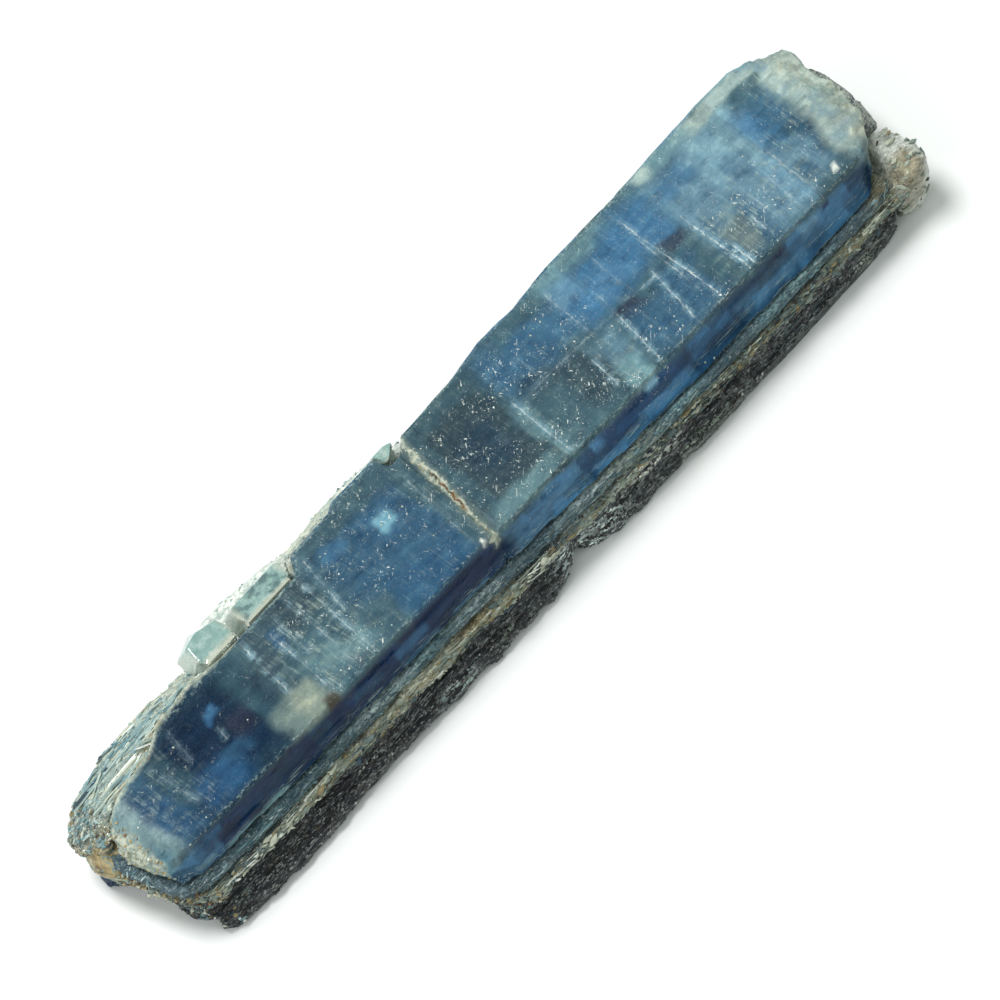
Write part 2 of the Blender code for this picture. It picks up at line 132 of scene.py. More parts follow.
# Soft patches of colour in the broad face: x, y, half length, half width, colour, strength.
TOP_PATCHES = (
    (-33.0, -0.5, 2.2, 3.8, TEAL_GREY, 1.0),
    (-31.0, -0.5, 1.4, 3.0, STEEL, 0.9),
    (-31.0, -0.5, 1.2, 1.6, DEEP_BLUE, 0.5),
    (-33.1, -0.9, 1.1, 2.0, PALE, 0.6),
    (-32.9, 1.4, 0.9, 0.9, PALE, 0.85),
    (-33.6, -2.4, 0.7, 1.1, MIST, 0.9),
    (-26.0, 0.3, 3.7, 3.8, DARK_NAVY, 1.0),
    (-29.2, 0.6, 1.0, 2.2, TEAL_GREY, 0.7),
    (-27.2, -1.7, 2.0, 1.2, DEEP_BLUE, 1.0),
    (-26.9, -1.6, 1.1, 0.8, BLUE, 0.4),
    (-24.4, 1.8, 0.6, 0.5, BLUE, 1.0),
    (-24.4, 1.9, 0.3, 0.25, SKY, 0.6),
    (-25.3, -1.1, 0.9, 0.6, STEEL, 0.9),
    (-23.8, -0.1, 1.1, 0.8, PURPLE, 0.9),
    (-21.0, 0.6, 1.7, 3.6, TEAL_GREY, 1.0),
    (-20.6, 0.2, 1.2, 1.8, SLATE, 0.6),
    (-19.0, 2.2, 1.2, 2.0, SLATE, 0.9),
    (-20.8, -2.4, 1.9, 1.2, BEIGE, 1.0),
    (-19.2, -3.3, 0.55, 0.5, BROWN, 0.95),
    (-16.2, -0.8, 2.4, 3.8, TEAL_GREY, 1.0),
    (-17.0, -1.2, 1.3, 0.9, MIST, 0.4),
    (-15.2, -2.0, 0.9, 0.8, MIST, 0.5),
    (-16.0, 2.6, 1.9, 1.5, SLATE, 0.9),
    (-18.2, 1.9, 0.5, 0.8, DEEP_BLUE, 0.7),
    (-9.2, 0.3, 4.3, 5.0, STEEL, 1.0),
    (-9.4, 4.5, 4.3, 1.0, TEAL_GREY, 0.9),
    (-12.9, -2.4, 1.1, 1.6, TEAL_GREY, 0.8),
    (-11.6, 3.0, 1.0, 0.5, SKY, 0.5),
    (-8.2, 2.0, 1.3, 1.2, BLUE, 0.5),
    (-8.1, 2.0, 0.75, 0.7, GLOW, 1.0),
    (-8.6, -2.4, 2.6, 1.4, DEEP_BLUE, 0.6),
    (-5.0, 0.2, 0.75, 4.8, TEAL_GREY, 0.9),
    (-5.2, -3.35, 0.2, 0.16, WHITE, 0.8),
    (-4.95, -3.6, 0.16, 0.16, WHITE, 0.8),
    (-0.6, 0.8, 3.2, 4.8, SLATE, 1.0),
    (-0.4, 0.4, 1.5, 1.7, NAVY, 0.4),
    (-3.1, 0.2, 0.45, 4.6, TEAL_GREY, 0.9),
    (-0.9, -3.1, 2.6, 0.75, MIST, 0.65),
    (-0.6, 4.4, 2.9, 0.9, TEAL_GREY, 0.9),
    (2.9, -1.6, 0.7, 2.8, MIST, 0.6),
    (5.3, -1.6, 2.3, 2.4, TEAL_GREY, 0.9),
    (5.4, 2.8, 2.6, 2.2, STEEL, 1.0),
    (5.1, 0.9, 1.6, 1.0, SLATE, 0.6),
    (8.9, 2.6, 2.2, 1.8, STEEL, 0.6),
    (9.2, 2.4, 1.6, 1.3, BLUE, 0.4),
    (7.6, 4.9, 2.8, 0.8, TEAL_GREY, 0.8),
    (7.4, -1.2, 1.6, 2.2, SLATE, 0.95),
    (9.7, -1.4, 1.2, 1.6, MISTY_BLUE, 0.4),
    (9.4, -3.4, 1.0, 1.2, MIST, 0.9),
    (13.1, 2.6, 2.9, 2.1, BLUE, 1.0),
    (13.6, 2.4, 2.0, 1.2, SKY, 0.9),
    (11.0, 3.9, 1.2, 0.9, MISTY_BLUE, 0.5),
    (12.5, -0.3, 1.1, 0.6, PURPLE, 0.9),
    (13.2, -2.3, 1.9, 1.8, STEEL, 0.9),
    (13.0, 5.0, 3.2, 0.7, MIST, 0.6),
    (17.0, 2.9, 2.4, 2.0, BLUE, 0.9),
    (16.6, -2.0, 1.7, 2.0, STEEL, 0.9),
    (18.0, 0.8, 1.2, 0.5, PURPLE, 0.8),
    (18.3, -2.4, 1.0, 1.5, TEAL_GREY, 0.8),
    (21.5, 1.4, 2.3, 3.8, MISTY_BLUE, 0.75),
    (21.4, -2.6, 2.0, 1.5, STEEL, 0.9),
    (20.9, -2.2, 0.8, 1.4, BEIGE, 0.45),
    (21.2, 3.4, 1.6, 0.9, BLUE, 0.7),
    (25.3, 2.4, 2.2, 2.6, PALE_BLUE, 0.9),
    (24.7, -2.0, 2.0, 2.2, MISTY_BLUE, 0.85),
    (24.6, 1.0, 1.0, 0.9, STEEL, 0.6),
    (27.4, 1.2, 1.0, 2.0, BLUE, 0.8),
    (27.6, -1.9, 1.7, 1.8, MISTY_BLUE, 0.9),
    (26.9, -2.6, 0.8, 0.7, STEEL, 0.7),
    (29.0, 1.7, 0.9, 1.6, STEEL, 0.8),
    (29.6, -1.0, 0.8, 1.4, STEEL, 0.7),
    (27.5, 5.2, 3.6, 0.6, PALE, 0.7),
    (22.4, 5.2, 2.4, 0.5, MIST, 0.7),
    (20.3, 5.3, 0.7, 0.5, PALE, 0.9),
    (31.9, 1.4, 1.8, 3.6, PALE, 1.0),
    (32.0, -2.0, 0.9, 1.8, PALE, 1.0),
    (31.0, -2.6, 1.5, 1.6, PALE, 0.9),
    (31.8, -2.5, 1.0, 1.2, CREAM, 0.5),
    (30.3, 4.2, 0.45, 0.4, TEAL_GREY, 0.9),
    (31.6, 0.6, 0.5, 0.6, MIST, 0.8),
    (28.4, -3.7, 0.24, 0.2, WHITE, 1.0),
)
# The same in the bevelled side and the facet under it: x, z, half length, half height, colour, strength.
BEVEL_PATCHES = (
    (-19.0, 6.6, 14.5, 1.6, INK, 1.0),
    (-26.0, 6.2, 2.6, 0.7, MIDNIGHT, 0.6),
    (-33.2, 6.6, 2.0, 3.0, STEEL, 1.0),
    (-32.4, 7.1, 0.7, 0.5, MISTY_BLUE, 0.8),
    (-31.4, 6.2, 1.3, 1.2, BLUE, 0.7),
    (-31.6, 5.5, 0.8, 0.25, MISTY_BLUE, 0.7),
    (-30.2, 7.2, 0.8, 0.7, DEEP_BLUE, 0.8),
    (-27.4, 5.1, 2.6, 0.25, MIST, 0.7),
    (-24.0, 6.4, 1.6, 0.5, NAVY, 0.7),
    (-20.8, 6.8, 0.8, 1.0, NAVY, 1.0),
    (-16.7, 6.2, 1.2, 0.5, NAVY, 1.0),
    (-12.8, 6.2, 1.4, 0.6, DEEP_BLUE, 0.9),
    (-12.6, 5.1, 1.6, 0.3, STEEL, 0.8),
    (-8.0, 5.1, 1.6, 0.2, STEEL, 0.9),
    (-0.6, 6.4, 3.3, 3.0, STEEL, 1.0),
    (-0.2, 7.2, 2.2, 0.7, BLUE, 0.5),
    (0.9, 5.35, 1.4, 0.35, BLUE, 0.9),
    (3.3, 6.9, 0.7, 1.3, NAVY, 1.0),
    (4.5, 7.2, 0.5, 0.9, BLUE, 1.0),
    (8.6, 6.9, 3.8, 1.5, MIDNIGHT, 1.0),
    (5.6, 5.2, 2.4, 0.3, BLUE, 0.8),
    (9.7, 7.4, 0.6, 0.5, MISTY_BLUE, 1.0),
    (10.2, 5.5, 2.4, 0.5, BLUE, 0.8),
    (10.2, 6.3, 0.8, 0.4, NAVY, 1.0),
    (14.9, 6.7, 1.9, 1.6, DEEP_BLUE, 0.9),
    (15.3, 5.5, 1.2, 0.4, NAVY, 0.9),
    (19.6, 7.0, 2.4, 0.7, NAVY, 1.0),
    (19.9, 5.9, 2.8, 0.8, STEEL, 0.9),
    (20.3, 5.5, 1.8, 0.4, BLUE, 0.8),
    (22.0, 7.4, 0.7, 0.5, INK, 0.9),
    (25.8, 6.6, 3.4, 2.4, BLUE, 1.0),
    (24.7, 6.9, 1.0, 0.8, SKY, 0.9),
    (24.6, 7.0, 0.8, 0.6, MISTY_BLUE, 0.5),
    (26.3, 7.4, 0.35, 0.6, INK, 0.9),
    (29.2, 7.1, 1.0, 1.1, NAVY, 0.9),
    (31.8, 6.6, 1.2, 3.0, MIST, 0.9),
)
# In the leaning fibres of the left side crystal: x, z, half length, half height, colour, strength.
SIDE_PATCHES = (
    (-29.0, 6.2, 6.5, 2.4, FIBRE_PALE, 0.9),
    (-30.0, 6.0, 3.0, 0.4, MIST, 0.4),
    (-27.0, 6.6, 2.4, 0.3, MIST, 0.3),
    (-24.6, 6.0, 2.0, 0.6, CREAM, 0.7),
    (-34.5, 5.4, 1.0, 1.6, SLATE, 0.9),
    (-34.2, 3.5, 1.8, 1.1, OCHRE, 1.0),
    (-34.0, 4.4, 0.8, 0.3, CREAM, 0.7),
)
# Parting lines across the broad face, each from a point (x, y) to another, with its strength.
PARTINGS = (
    (-31.6, 1.6, -31.2, -2.2, 0.25),
    (-29.6, 2.2, -29.3, -1.6, 0.3),
    (-27.0, 3.0, -27.5, 0.6, 0.3),
    (-24.9, 0.9, -25.2, -0.2, 0.3),
    (-19.85, 3.7, -20.5, -1.2, 0.9),
    (-18.3, 2.4, -18.65, -3.1, 0.7),
    (-17.3, 3.2, -17.7, -0.4, 0.4),
    (-15.9, 3.4, -16.4, -3.0, 0.5),
    (-14.5, 3.5, -15.1, -3.2, 0.65),
    (-13.2, 4.3, -14.2, -0.1, 0.55),
    (-5.15, 3.4, -5.8, -3.5, 0.3),
    (2.95, 1.2, 2.7, -3.8, 0.75),
    (5.6, 3.2, 5.4, 1.2, 0.2),
    (8.35, -0.5, 8.0, -3.2, 0.7),
    (10.05, 4.6, 9.8, 0.8, 0.55),
    (12.15, 2.1, 10.95, -4.2, 0.85),
    (13.9, 3.9, 13.6, 1.2, 0.3),
    (15.5, 0.6, 14.55, -3.8, 0.75),
    (16.7, 2.4, 16.3, -2.7, 0.6),
    (16.95, 4.9, 16.85, -4.3, 1.0),
    (19.6, 1.6, 19.5, -4.1, 1.2),
    (20.05, -1.8, 19.95, -4.2, 1.6),
    (22.35, -1.6, 22.15, -4.1, 0.7),
    (23.6, 1.0, 23.3, -3.4, 0.35),
    (25.2, -0.6, 24.9, -3.6, 0.5),
    (26.6, 0.4, 26.3, -3.8, 0.45),
    (28.0, -1.0, 27.7, -3.4, 0.4),
)
# The outline of the broad face, as points (x, y): its left edge, and the ridge over its bevelled side.
LEFT_EDGE = (
    (-34, 1.3), (-32, 2.4), (-27, 3.6), (-22.4, 3.8), (-14.2, 3.8), (-13.2, 5.0), (-5.4, 5.3), (-4.8, 4.2),
    (-3.2, 5.0), (5, 5.6), (33, 5.6),
)
RIDGE = (
    (-33.9, -2.3), (-32.1, -2.9), (-18.6, -3.3), (-4.4, -3.5), (-4.0, -3.67), (9.9, -4.07), (29.4, -4.42),
    (31.4, -4.2), (32.9, -3.7),
)
NEAR_END_DIMMING = (0.36, 0.26, 0.18)  # the part of the light that the near end of the blade takes away
BLOCK_STRENGTH = 0.45  # partings this strong also part the colour inside
PARTING_LEAN = 0.08  # how far a parting moves along x for each millimetre across
GROWTH_LINE_Y = 0.7  # the lengthwise line where the two halves of the blade meet
GROOVE_DEPTH, GROOVE_WIDTH = 0.035, 0.11  # of a parting in the broad face
BEVEL_STEP, BEVEL_SEED = (1.9, 0.85), 4  # length and height of the steps in the bevelled side
FAR_AWAY = 9.0  # farther from a line than its strength reaches
SHARP_ANGLE = 32  # degrees between faces, from which an edge looks sharp
SHARD_BEND = 2.2  # how bent the shards of a finish are
LINE_SETS = 3  # neighbouring lines go to different sets, so that no two in a set are close
# Lengthwise lines on the broad face, in the same form.
LENGTH_LINES = (
    (12.6, 0.45, 15.6, 0.05, 0.9),
    (3.1, 0.8, 12.3, 0.4, 0.3),
    (19.0, 0.95, 24.0, 0.9, 0.2),
)
# Hazy places full of fine cross scratches: x, y, half length, half width, strength.
HAZE = (
    (-16.2, -0.4, 2.8, 3.6, 0.9),
    (-19.4, 0.6, 1.4, 3.0, 0.5),
    (-30.0, 0.0, 2.4, 2.6, 0.5),
    (2.7, -2.0, 0.9, 2.2, 0.7),
    (9.8, -2.6, 1.6, 1.4, 0.5),
    (21.0, -1.8, 2.6, 2.4, 0.9),
    (25.4, -1.2, 2.6, 2.6, 0.7),
    (-4.8, 0.0, 0.7, 4.6, 0.5),
    (31.2, 0.6, 2.4, 4.8, 0.8),
)
# Where pale dust, tiny chips and painted glints lie thickest, in the same form.
DUST = (
    (3.0, 0.5, 7.5, 5.0, 0.7),
    (-3.9, 0.0, 1.2, 5.0, 0.8),
    (-10.0, 2.0, 3.5, 3.0, 0.45),
    (11.0, -2.0, 4.0, 2.4, 0.7),
    (24.0, -2.0, 5.0, 2.6, 0.6),
    (-31.0, 0.0, 3.0, 3.0, 0.3),
    (-16.2, -0.6, 2.6, 3.4, 0.6),
    (2.75, -3.1, 0.5, 1.1, 2.2),
    (8.1, -2.9, 0.5, 0.8, 1.8),
    (11.2, -3.3, 0.5, 1.1, 2.0),
    (16.9, -3.7, 0.5, 0.8, 1.8),
    (19.9, -3.0, 0.8, 1.2, 2.2),
    (1.0, -3.9, 3.5, 0.3, 1.2),
    (9.8, -3.9, 1.8, 0.9, 2.0),
)
FOOT_GROWTH = {"mica_seam": 0.35}  # how far a blade spreads where it meets the floor
SIDE_GROWTH = {"hex_crystal": 0.25, "bar_crystal": 0.3}  # how far a crystal reaches towards the broad blade
CORNER_CUT = (1.4, 0.2)  # how far the near right corner of the foot is drawn back, along x and y
CRACK = (-3.78, 4.2, -4.46, -4.2)  # the open parting, from its left end to the ridge
LUMP_PLACE, LUMP_SIZE = (-33.85, 1.9, 3.1), (1.0, 1.9, 1.7)
# The small clear crystals: node, seed, roughness of the shape, and how dark the stone behind looks in them.
CLEAR_CRYSTALS = (
    ("hex_crystal", 700, 0.01, 0.3),
    ("bar_crystal", 800, 0.01, 0.9),
    ("corner_chip", 900, 0.04, 0.3),
)

# Colours along the blades: each stretch begins at this x, and blends in over STRETCH_BLEND on either side.
STRETCH_BLEND = 1.2
GREY_STRETCHES = (
    (-35.0, DIM_TEAL), (-28.6, TEAL_GREY), (-18.5, SILVER), (-13.6, MIST), (-9.6, SILVER), (-5.8, DIM_TEAL),
    (0.6, SILVER), (3.6, BEIGE), (9.0, MIST), (13.0, DIM_TEAL), (18.0, MIST), (24.0, DIM_TEAL),
    (29.5, TAN), (31.5, CREAM),
)
CREAM_STRETCHES = (
    (-35.0, TAN), (-33.4, DIM_TEAL), (-24.5, BEIGE), (-19.5, CREAM), (-9.6, TAN), (-6.8, CREAM),
    (-5.0, SLATE), (-0.4, SILVER), (4.0, WHITE), (8.6, CREAM), (13.5, GREEN_GREY), (19.0, DIM_TEAL),
    (24.5, BEIGE), (31.5, CREAM),
)
WALL_STRETCHES = (
    (-35.0, MIST), (-30.0, TEAL_GREY), (-13.0, STEEL), (-5.0, TEAL_GREY), (3.0, BLUE), (9.0, STEEL),
    (15.0, TEAL_GREY), (20.0, MISTY_BLUE), (26.0, MIST),
)
DARK_STRETCHES = (
    (-35.0, NAVY), (-27.0, STEEL), (-22.0, SLATE), (-15.0, NAVY), (-8.0, TEAL_GREY), (-1.0, NAVY),
    (7.0, DEEP_BLUE), (12.0, SLATE), (19.0, STEEL), (25.0, NAVY),
)
BACK_STRETCHES = ((-40.0, WHITE), (-13.0, CREAM), (-7.0, WHITE))
# Paler places in the black mica, as for the bevelled side.
MICA_PATCHES = (
    (14.0, 1.2, 23.0, 3.0, MICA_GREY, 0.8),
    # The notch: grey-white flakes, brightened by a painted highlight against its shade.
    (1.6, 1.1, 3.4, 1.4, SILVER_FLAKES_AND_HIGHLIGHT, 0.9),
    (-11.2, 1.0, 2.0, 0.35, SILVER, 0.8),
    (-7.0, 1.1, 1.0, 0.25, BEIGE, 0.8),
    (8.0, 2.2, 2.4, 0.45, WHITE, 0.95),
    (11.8, 0.8, 3.0, 0.5, BEIGE, 0.7),
    (-30.6, 1.4, 1.0, 0.3, GREEN_GREY, 0.8),
    (21.5, 1.6, 2.4, 0.9, SLATE, 0.8),
    (29.0, 0.8, 2.0, 0.8, BEIGE, 0.6),
)

# The finishes of the small pieces: shades from the darkest to the lightest, roughness, specular level.
SMALL_FINISHES = {
    "mica_flake_stone": ((SOOT, JET, SOOT, PITCH, SOOT, BROWN, ASH, TIN), 0.3, 0.25),
    "splinter_stone": (
        (SOOT, BROWN, SLATE, GREEN_GREY, BEIGE, TAN, BEIGE, CREAM, CREAM, WHITE), 0.5, 0.15,
    ),
    "slaty_splinter_stone": (
        (SLATE, TEAL_GREY, DIM_TEAL, GREEN_GREY, DIM_TEAL, MIST, SILVER, PALE), 0.45, 0.15,
    ),
    "side_fibre_stone": (
        (SLATE, GREEN_GREY, MIST, PALE, MIST, PALE, CREAM, PALE, WHITE, WHITE), 0.45, 0.15,
    ),
    "white_chip_stone": ((MIST, PALE, CREAM, WHITE), 0.3, 0.5),
    "end_crust_stone": ((BROWN, RUST, TAN, OCHRE, BEIGE, OCHRE, CREAM, CREAM, WHITE), 0.5, 0.15),
    "side_end_stone": (
        (SOOT, SLATE, BROWN, GREEN_GREY, TAN, MIST, BEIGE, CREAM, WHITE, WHITE), 0.5, 0.2,
    ),
    "nub_stone": ((BROWN, TAN, BEIGE, BEIGE, CREAM, BEIGE, CREAM, CREAM), 0.5, 0.15),
}
SMALL_PIECES_SEED = 11
# Sizes of the small pieces. Plates: tilt, radius, thickness. Slivers: tilt, turn, length, width.
FLAKE = (0.18, (0.05, 0.15), (0.008, 0.02))
WHITE_CHIP = (0.3, (0.02, 0.1), (0.008, 0.02))
SPLINTER = (0.1, 0.03, (0.4, 1.8), (0.05, 0.1))
LONG_FIBRE = (0.02, 0.01, (1.0, 3.4), (0.1, 0.24))


# ---- noise ----

HASH_FACTORS = (374761393, 668265263, 2246822519)  # large primes, one for each column of a cell's address
HASH_SEED, HASH_FIRST, HASH_SECOND = 3266489917, 1274126177, 2654435761
HASH_TOP = 0xFFFFFF


def draw(cells, seed):
    """A repeatable random number from 0 to 1 for each row of whole numbers."""
    c = cells.astype(np.int64).astype(np.uint64)
    a, b, d = (c[:, k] * np.uint64(factor) for k, factor in enumerate(HASH_FACTORS))
    h = a + b + d + np.uint64(HASH_SEED * (seed + 1))
    h = (h ^ (h >> np.uint64(13))) * np.uint64(HASH_FIRST)
    h = (h ^ (h >> np.uint64(17))) * np.uint64(HASH_SECOND)
    return ((h >> np.uint64(8)) & np.uint64(HASH_TOP)).astype(float) / HASH_TOP


def smooth(points, size, seed=0):
    """Smooth noise from -1 to 1. size is the length of one wave along x, y and z."""
    p = points / np.array(size, float)
    base = np.floor(p)
    t = p - base
    t = t * t * (3 - 2 * t)
    total = np.zeros(len(p))
    for corner in itertools.product((0, 1), repeat=3):
        weight = np.prod(np.where(np.array(corner, bool), t, 1 - t), axis=1)
        total += weight * draw(base + corner, seed)
    return 2 * total - 1


def layered(points, size, seed=0, octaves=3):
    """Smooth noise with finer noise on it."""
    total, height = np.zeros(len(points)), 1.0
    for k in range(octaves):
        total += height * smooth(points, np.array(size, float) / 2**k, seed + 17 * k)
        height *= 0.5
    return total / 1.5


def mosaic(along, across, length, width, seed=0):
    """A wall of oblong cells with sharp straight sides, each with its own number from 0 to 1."""
    lane = np.floor(across / width)
    shift = draw(np.stack([lane, lane * 0, lane * 0], axis=1), seed + 5)
    cell = np.floor(along / length + 7 * shift)
    return draw(np.stack([cell, lane, lane * 0], axis=1), seed)


def between_partings(x, y, seed):
    """A number from 0 to 1 for each block between two parting lines, on each side of the growth line."""
    middles = np.sort([(x0 + x1) / 2 for x0, _, x1, _, strength in PARTINGS if strength >= BLOCK_STRENGTH])
    block = np.searchsorted(middles, x - PARTING_LEAN * y)
    half = np.where(y > GROWTH_LINE_Y, 1, 0)
    return draw(np.stack([block, half, 0 * half], axis=1), seed)


def eased(value, low, high):
    """0 below low, 1 above high, and smooth between."""
    t = np.clip((value - low) / (high - low), 0.0, 1.0)
    return t * t * (3 - 2 * t)


def faded(value, low, high):
    """1 below low, 0 above high, and smooth between."""
    return 1 - eased(value, low, high)


# ---- meshes ----


def shown(name, mesh_data):
    piece = bpy.data.objects.new(name, mesh_data)
    bpy.context.scene.collection.objects.link(piece)
    return piece


def fine_copy(node, voxel):
    """A closed copy of a CAD node in millimetres, with even faces about one voxel across."""
    mesh = bmesh.new()
    mesh.from_mesh(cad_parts[node].data)
    bmesh.ops.remove_doubles(mesh, verts=mesh.verts, dist=1e-7)
    bmesh.ops.transform(mesh, matrix=Matrix.Scale(1 / MM, 4), verts=mesh.verts)
    bmesh.ops.recalc_face_normals(mesh, faces=mesh.faces)
    coarse = bpy.data.meshes.new(node + "_coarse")
    mesh.to_mesh(coarse)
    mesh.free()
    stand_in = shown(node + "_coarse", coarse)
    remesh = stand_in.modifiers.new("Even faces", "REMESH")
    remesh.mode = "VOXEL"
    remesh.voxel_size = voxel
    evaluated = stand_in.evaluated_get(bpy.context.evaluated_depsgraph_get())
    fine = bpy.data.meshes.new_from_object(evaluated)
    bpy.data.objects.remove(stand_in)
    bpy.data.meshes.remove(coarse)
    fine.name = node + "_stone"
    return fine


def points_of(mesh_data):
    points = np.zeros(len(mesh_data.vertices) * 3, np.float32)
    mesh_data.vertices.foreach_get("co", points)
    return points.reshape(-1, 3).astype(float)


def normals_of(mesh_data):
    normals = np.zeros(len(mesh_data.vertices) * 3, np.float32)
    mesh_data.vertex_normals.foreach_get("vector", normals)
    return normals.reshape(-1, 3).astype(float)


def inside_box(points):
    """Points in millimetres, held inside the CAD model's box."""
    low, high = (np.array(corner) / MM for corner in cad_box)
    return np.clip(points, low, high)


def set_points(mesh_data, points):
    """Moves the points of a mesh to places in millimetres."""
    mesh_data.vertices.foreach_set("co", (inside_box(points) * MM).astype(np.float32).ravel())


def store(mesh_data, name, values):
    """Keeps a number or a colour at each point of a mesh, for its material to read."""
    if values.ndim == 1:
        kept = mesh_data.attributes.new(name, "FLOAT", "POINT")
        kept.data.foreach_set("value", values.astype(np.float32))
        return
    opaque = np.column_stack([values, np.ones(len(values))]).astype(np.float32)
    mesh_data.attributes.new(name, "FLOAT_COLOR", "POINT").data.foreach_set("color", opaque.ravel())


def dress(mesh_data, points, node, material):
    """Gives a shaped mesh its points and its finish, and puts it in the CAD node's place."""
    set_points(mesh_data, points)
    mesh_data.update()
    mesh_data.shade_smooth()
    mesh_data.set_sharp_from_angle(angle=math.radians(SHARP_ANGLE))
    mesh_data.materials.clear()
    mesh_data.materials.append(material)
    piece = shown(node + "_stone", mesh_data)
    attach(piece, "root")
    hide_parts(node)


# ---- painting ----


def patch(a, b, half_a, half_b, across, along, crisp=False):
    """1 inside an oblong patch, 0 outside. A crisp one has sharp ends, where partings cut it."""
    inner, outer = (0.9, 1.1) if crisp else (0.6, 1.3)
    ends = faded(np.abs(along - a) / half_a, inner, outer)
    sides = faded(np.abs(across - b) / half_b, 0.5, 1.35)
    return ends * sides


def paint(colours, mask, colour):
    """Mixes a colour into the rows of colours, as far as mask says."""
    colours += mask[:, None] * (np.array(colour) - colours)


def painted(patches, along, across, ground, crisp=False):
    """The colour at each point: a ground colour with soft patches laid over it in order."""
    colours = np.tile(np.array(ground, float), (len(along), 1))
    for a, b, half_a, half_b, colour, strength in patches:
        paint(colours, strength * patch(a, b, half_a, half_b, across, along, crisp), colour)
    return colours


def summed(spots, along, across):
    """The strongest of several soft spots at each point."""
    total = np.zeros(len(along))
    for a, b, half_a, half_b, strength in spots:
        total = np.maximum(total, strength * patch(a, b, half_a, half_b, across, along))
    return total


def line_fields(lines, points, lengthwise=False):
    """For each set of lines, the distance past the nearest line and how strong it is there."""
    along, across = (points[:, 1], points[:, 0]) if lengthwise else (points[:, 0], points[:, 1])
    sets = 1 if lengthwise else LINE_SETS
    fields = []
    for first in range(sets):
        nearest = np.full(len(points), FAR_AWAY)
        strongest = np.zeros(len(points))
        for x0, y0, x1, y1, strength in lines[first::sets]:
            start, end = ((y0, x0), (y1, x1)) if lengthwise else ((x0, y0), (x1, y1))
            share = (across - start[1]) / (end[1] - start[1])
            gap = along - (start[0] + share * (end[0] - start[0]))
            kept = strength * eased(share, -0.04, 0.1) * faded(share, 0.9, 1.04)
            closer = np.abs(gap) < np.abs(nearest)
            nearest = np.where(closer, gap, nearest)
            strongest = np.where(closer, kept * faded(np.abs(gap), 0.25, 0.5), strongest)
        fields.append((nearest, strongest))
    return fields


def stretch_colours(x, stretches):
    """The colour of a side band at each x. It blends from one stretch to the next."""
    colours = np.tile(np.array(stretches[0][1], float), (len(x), 1))
    for start, colour in stretches[1:]:
        paint(colours, eased(x, start - STRETCH_BLEND, start + STRETCH_BLEND), colour)
    return colours


# ---- materials ----


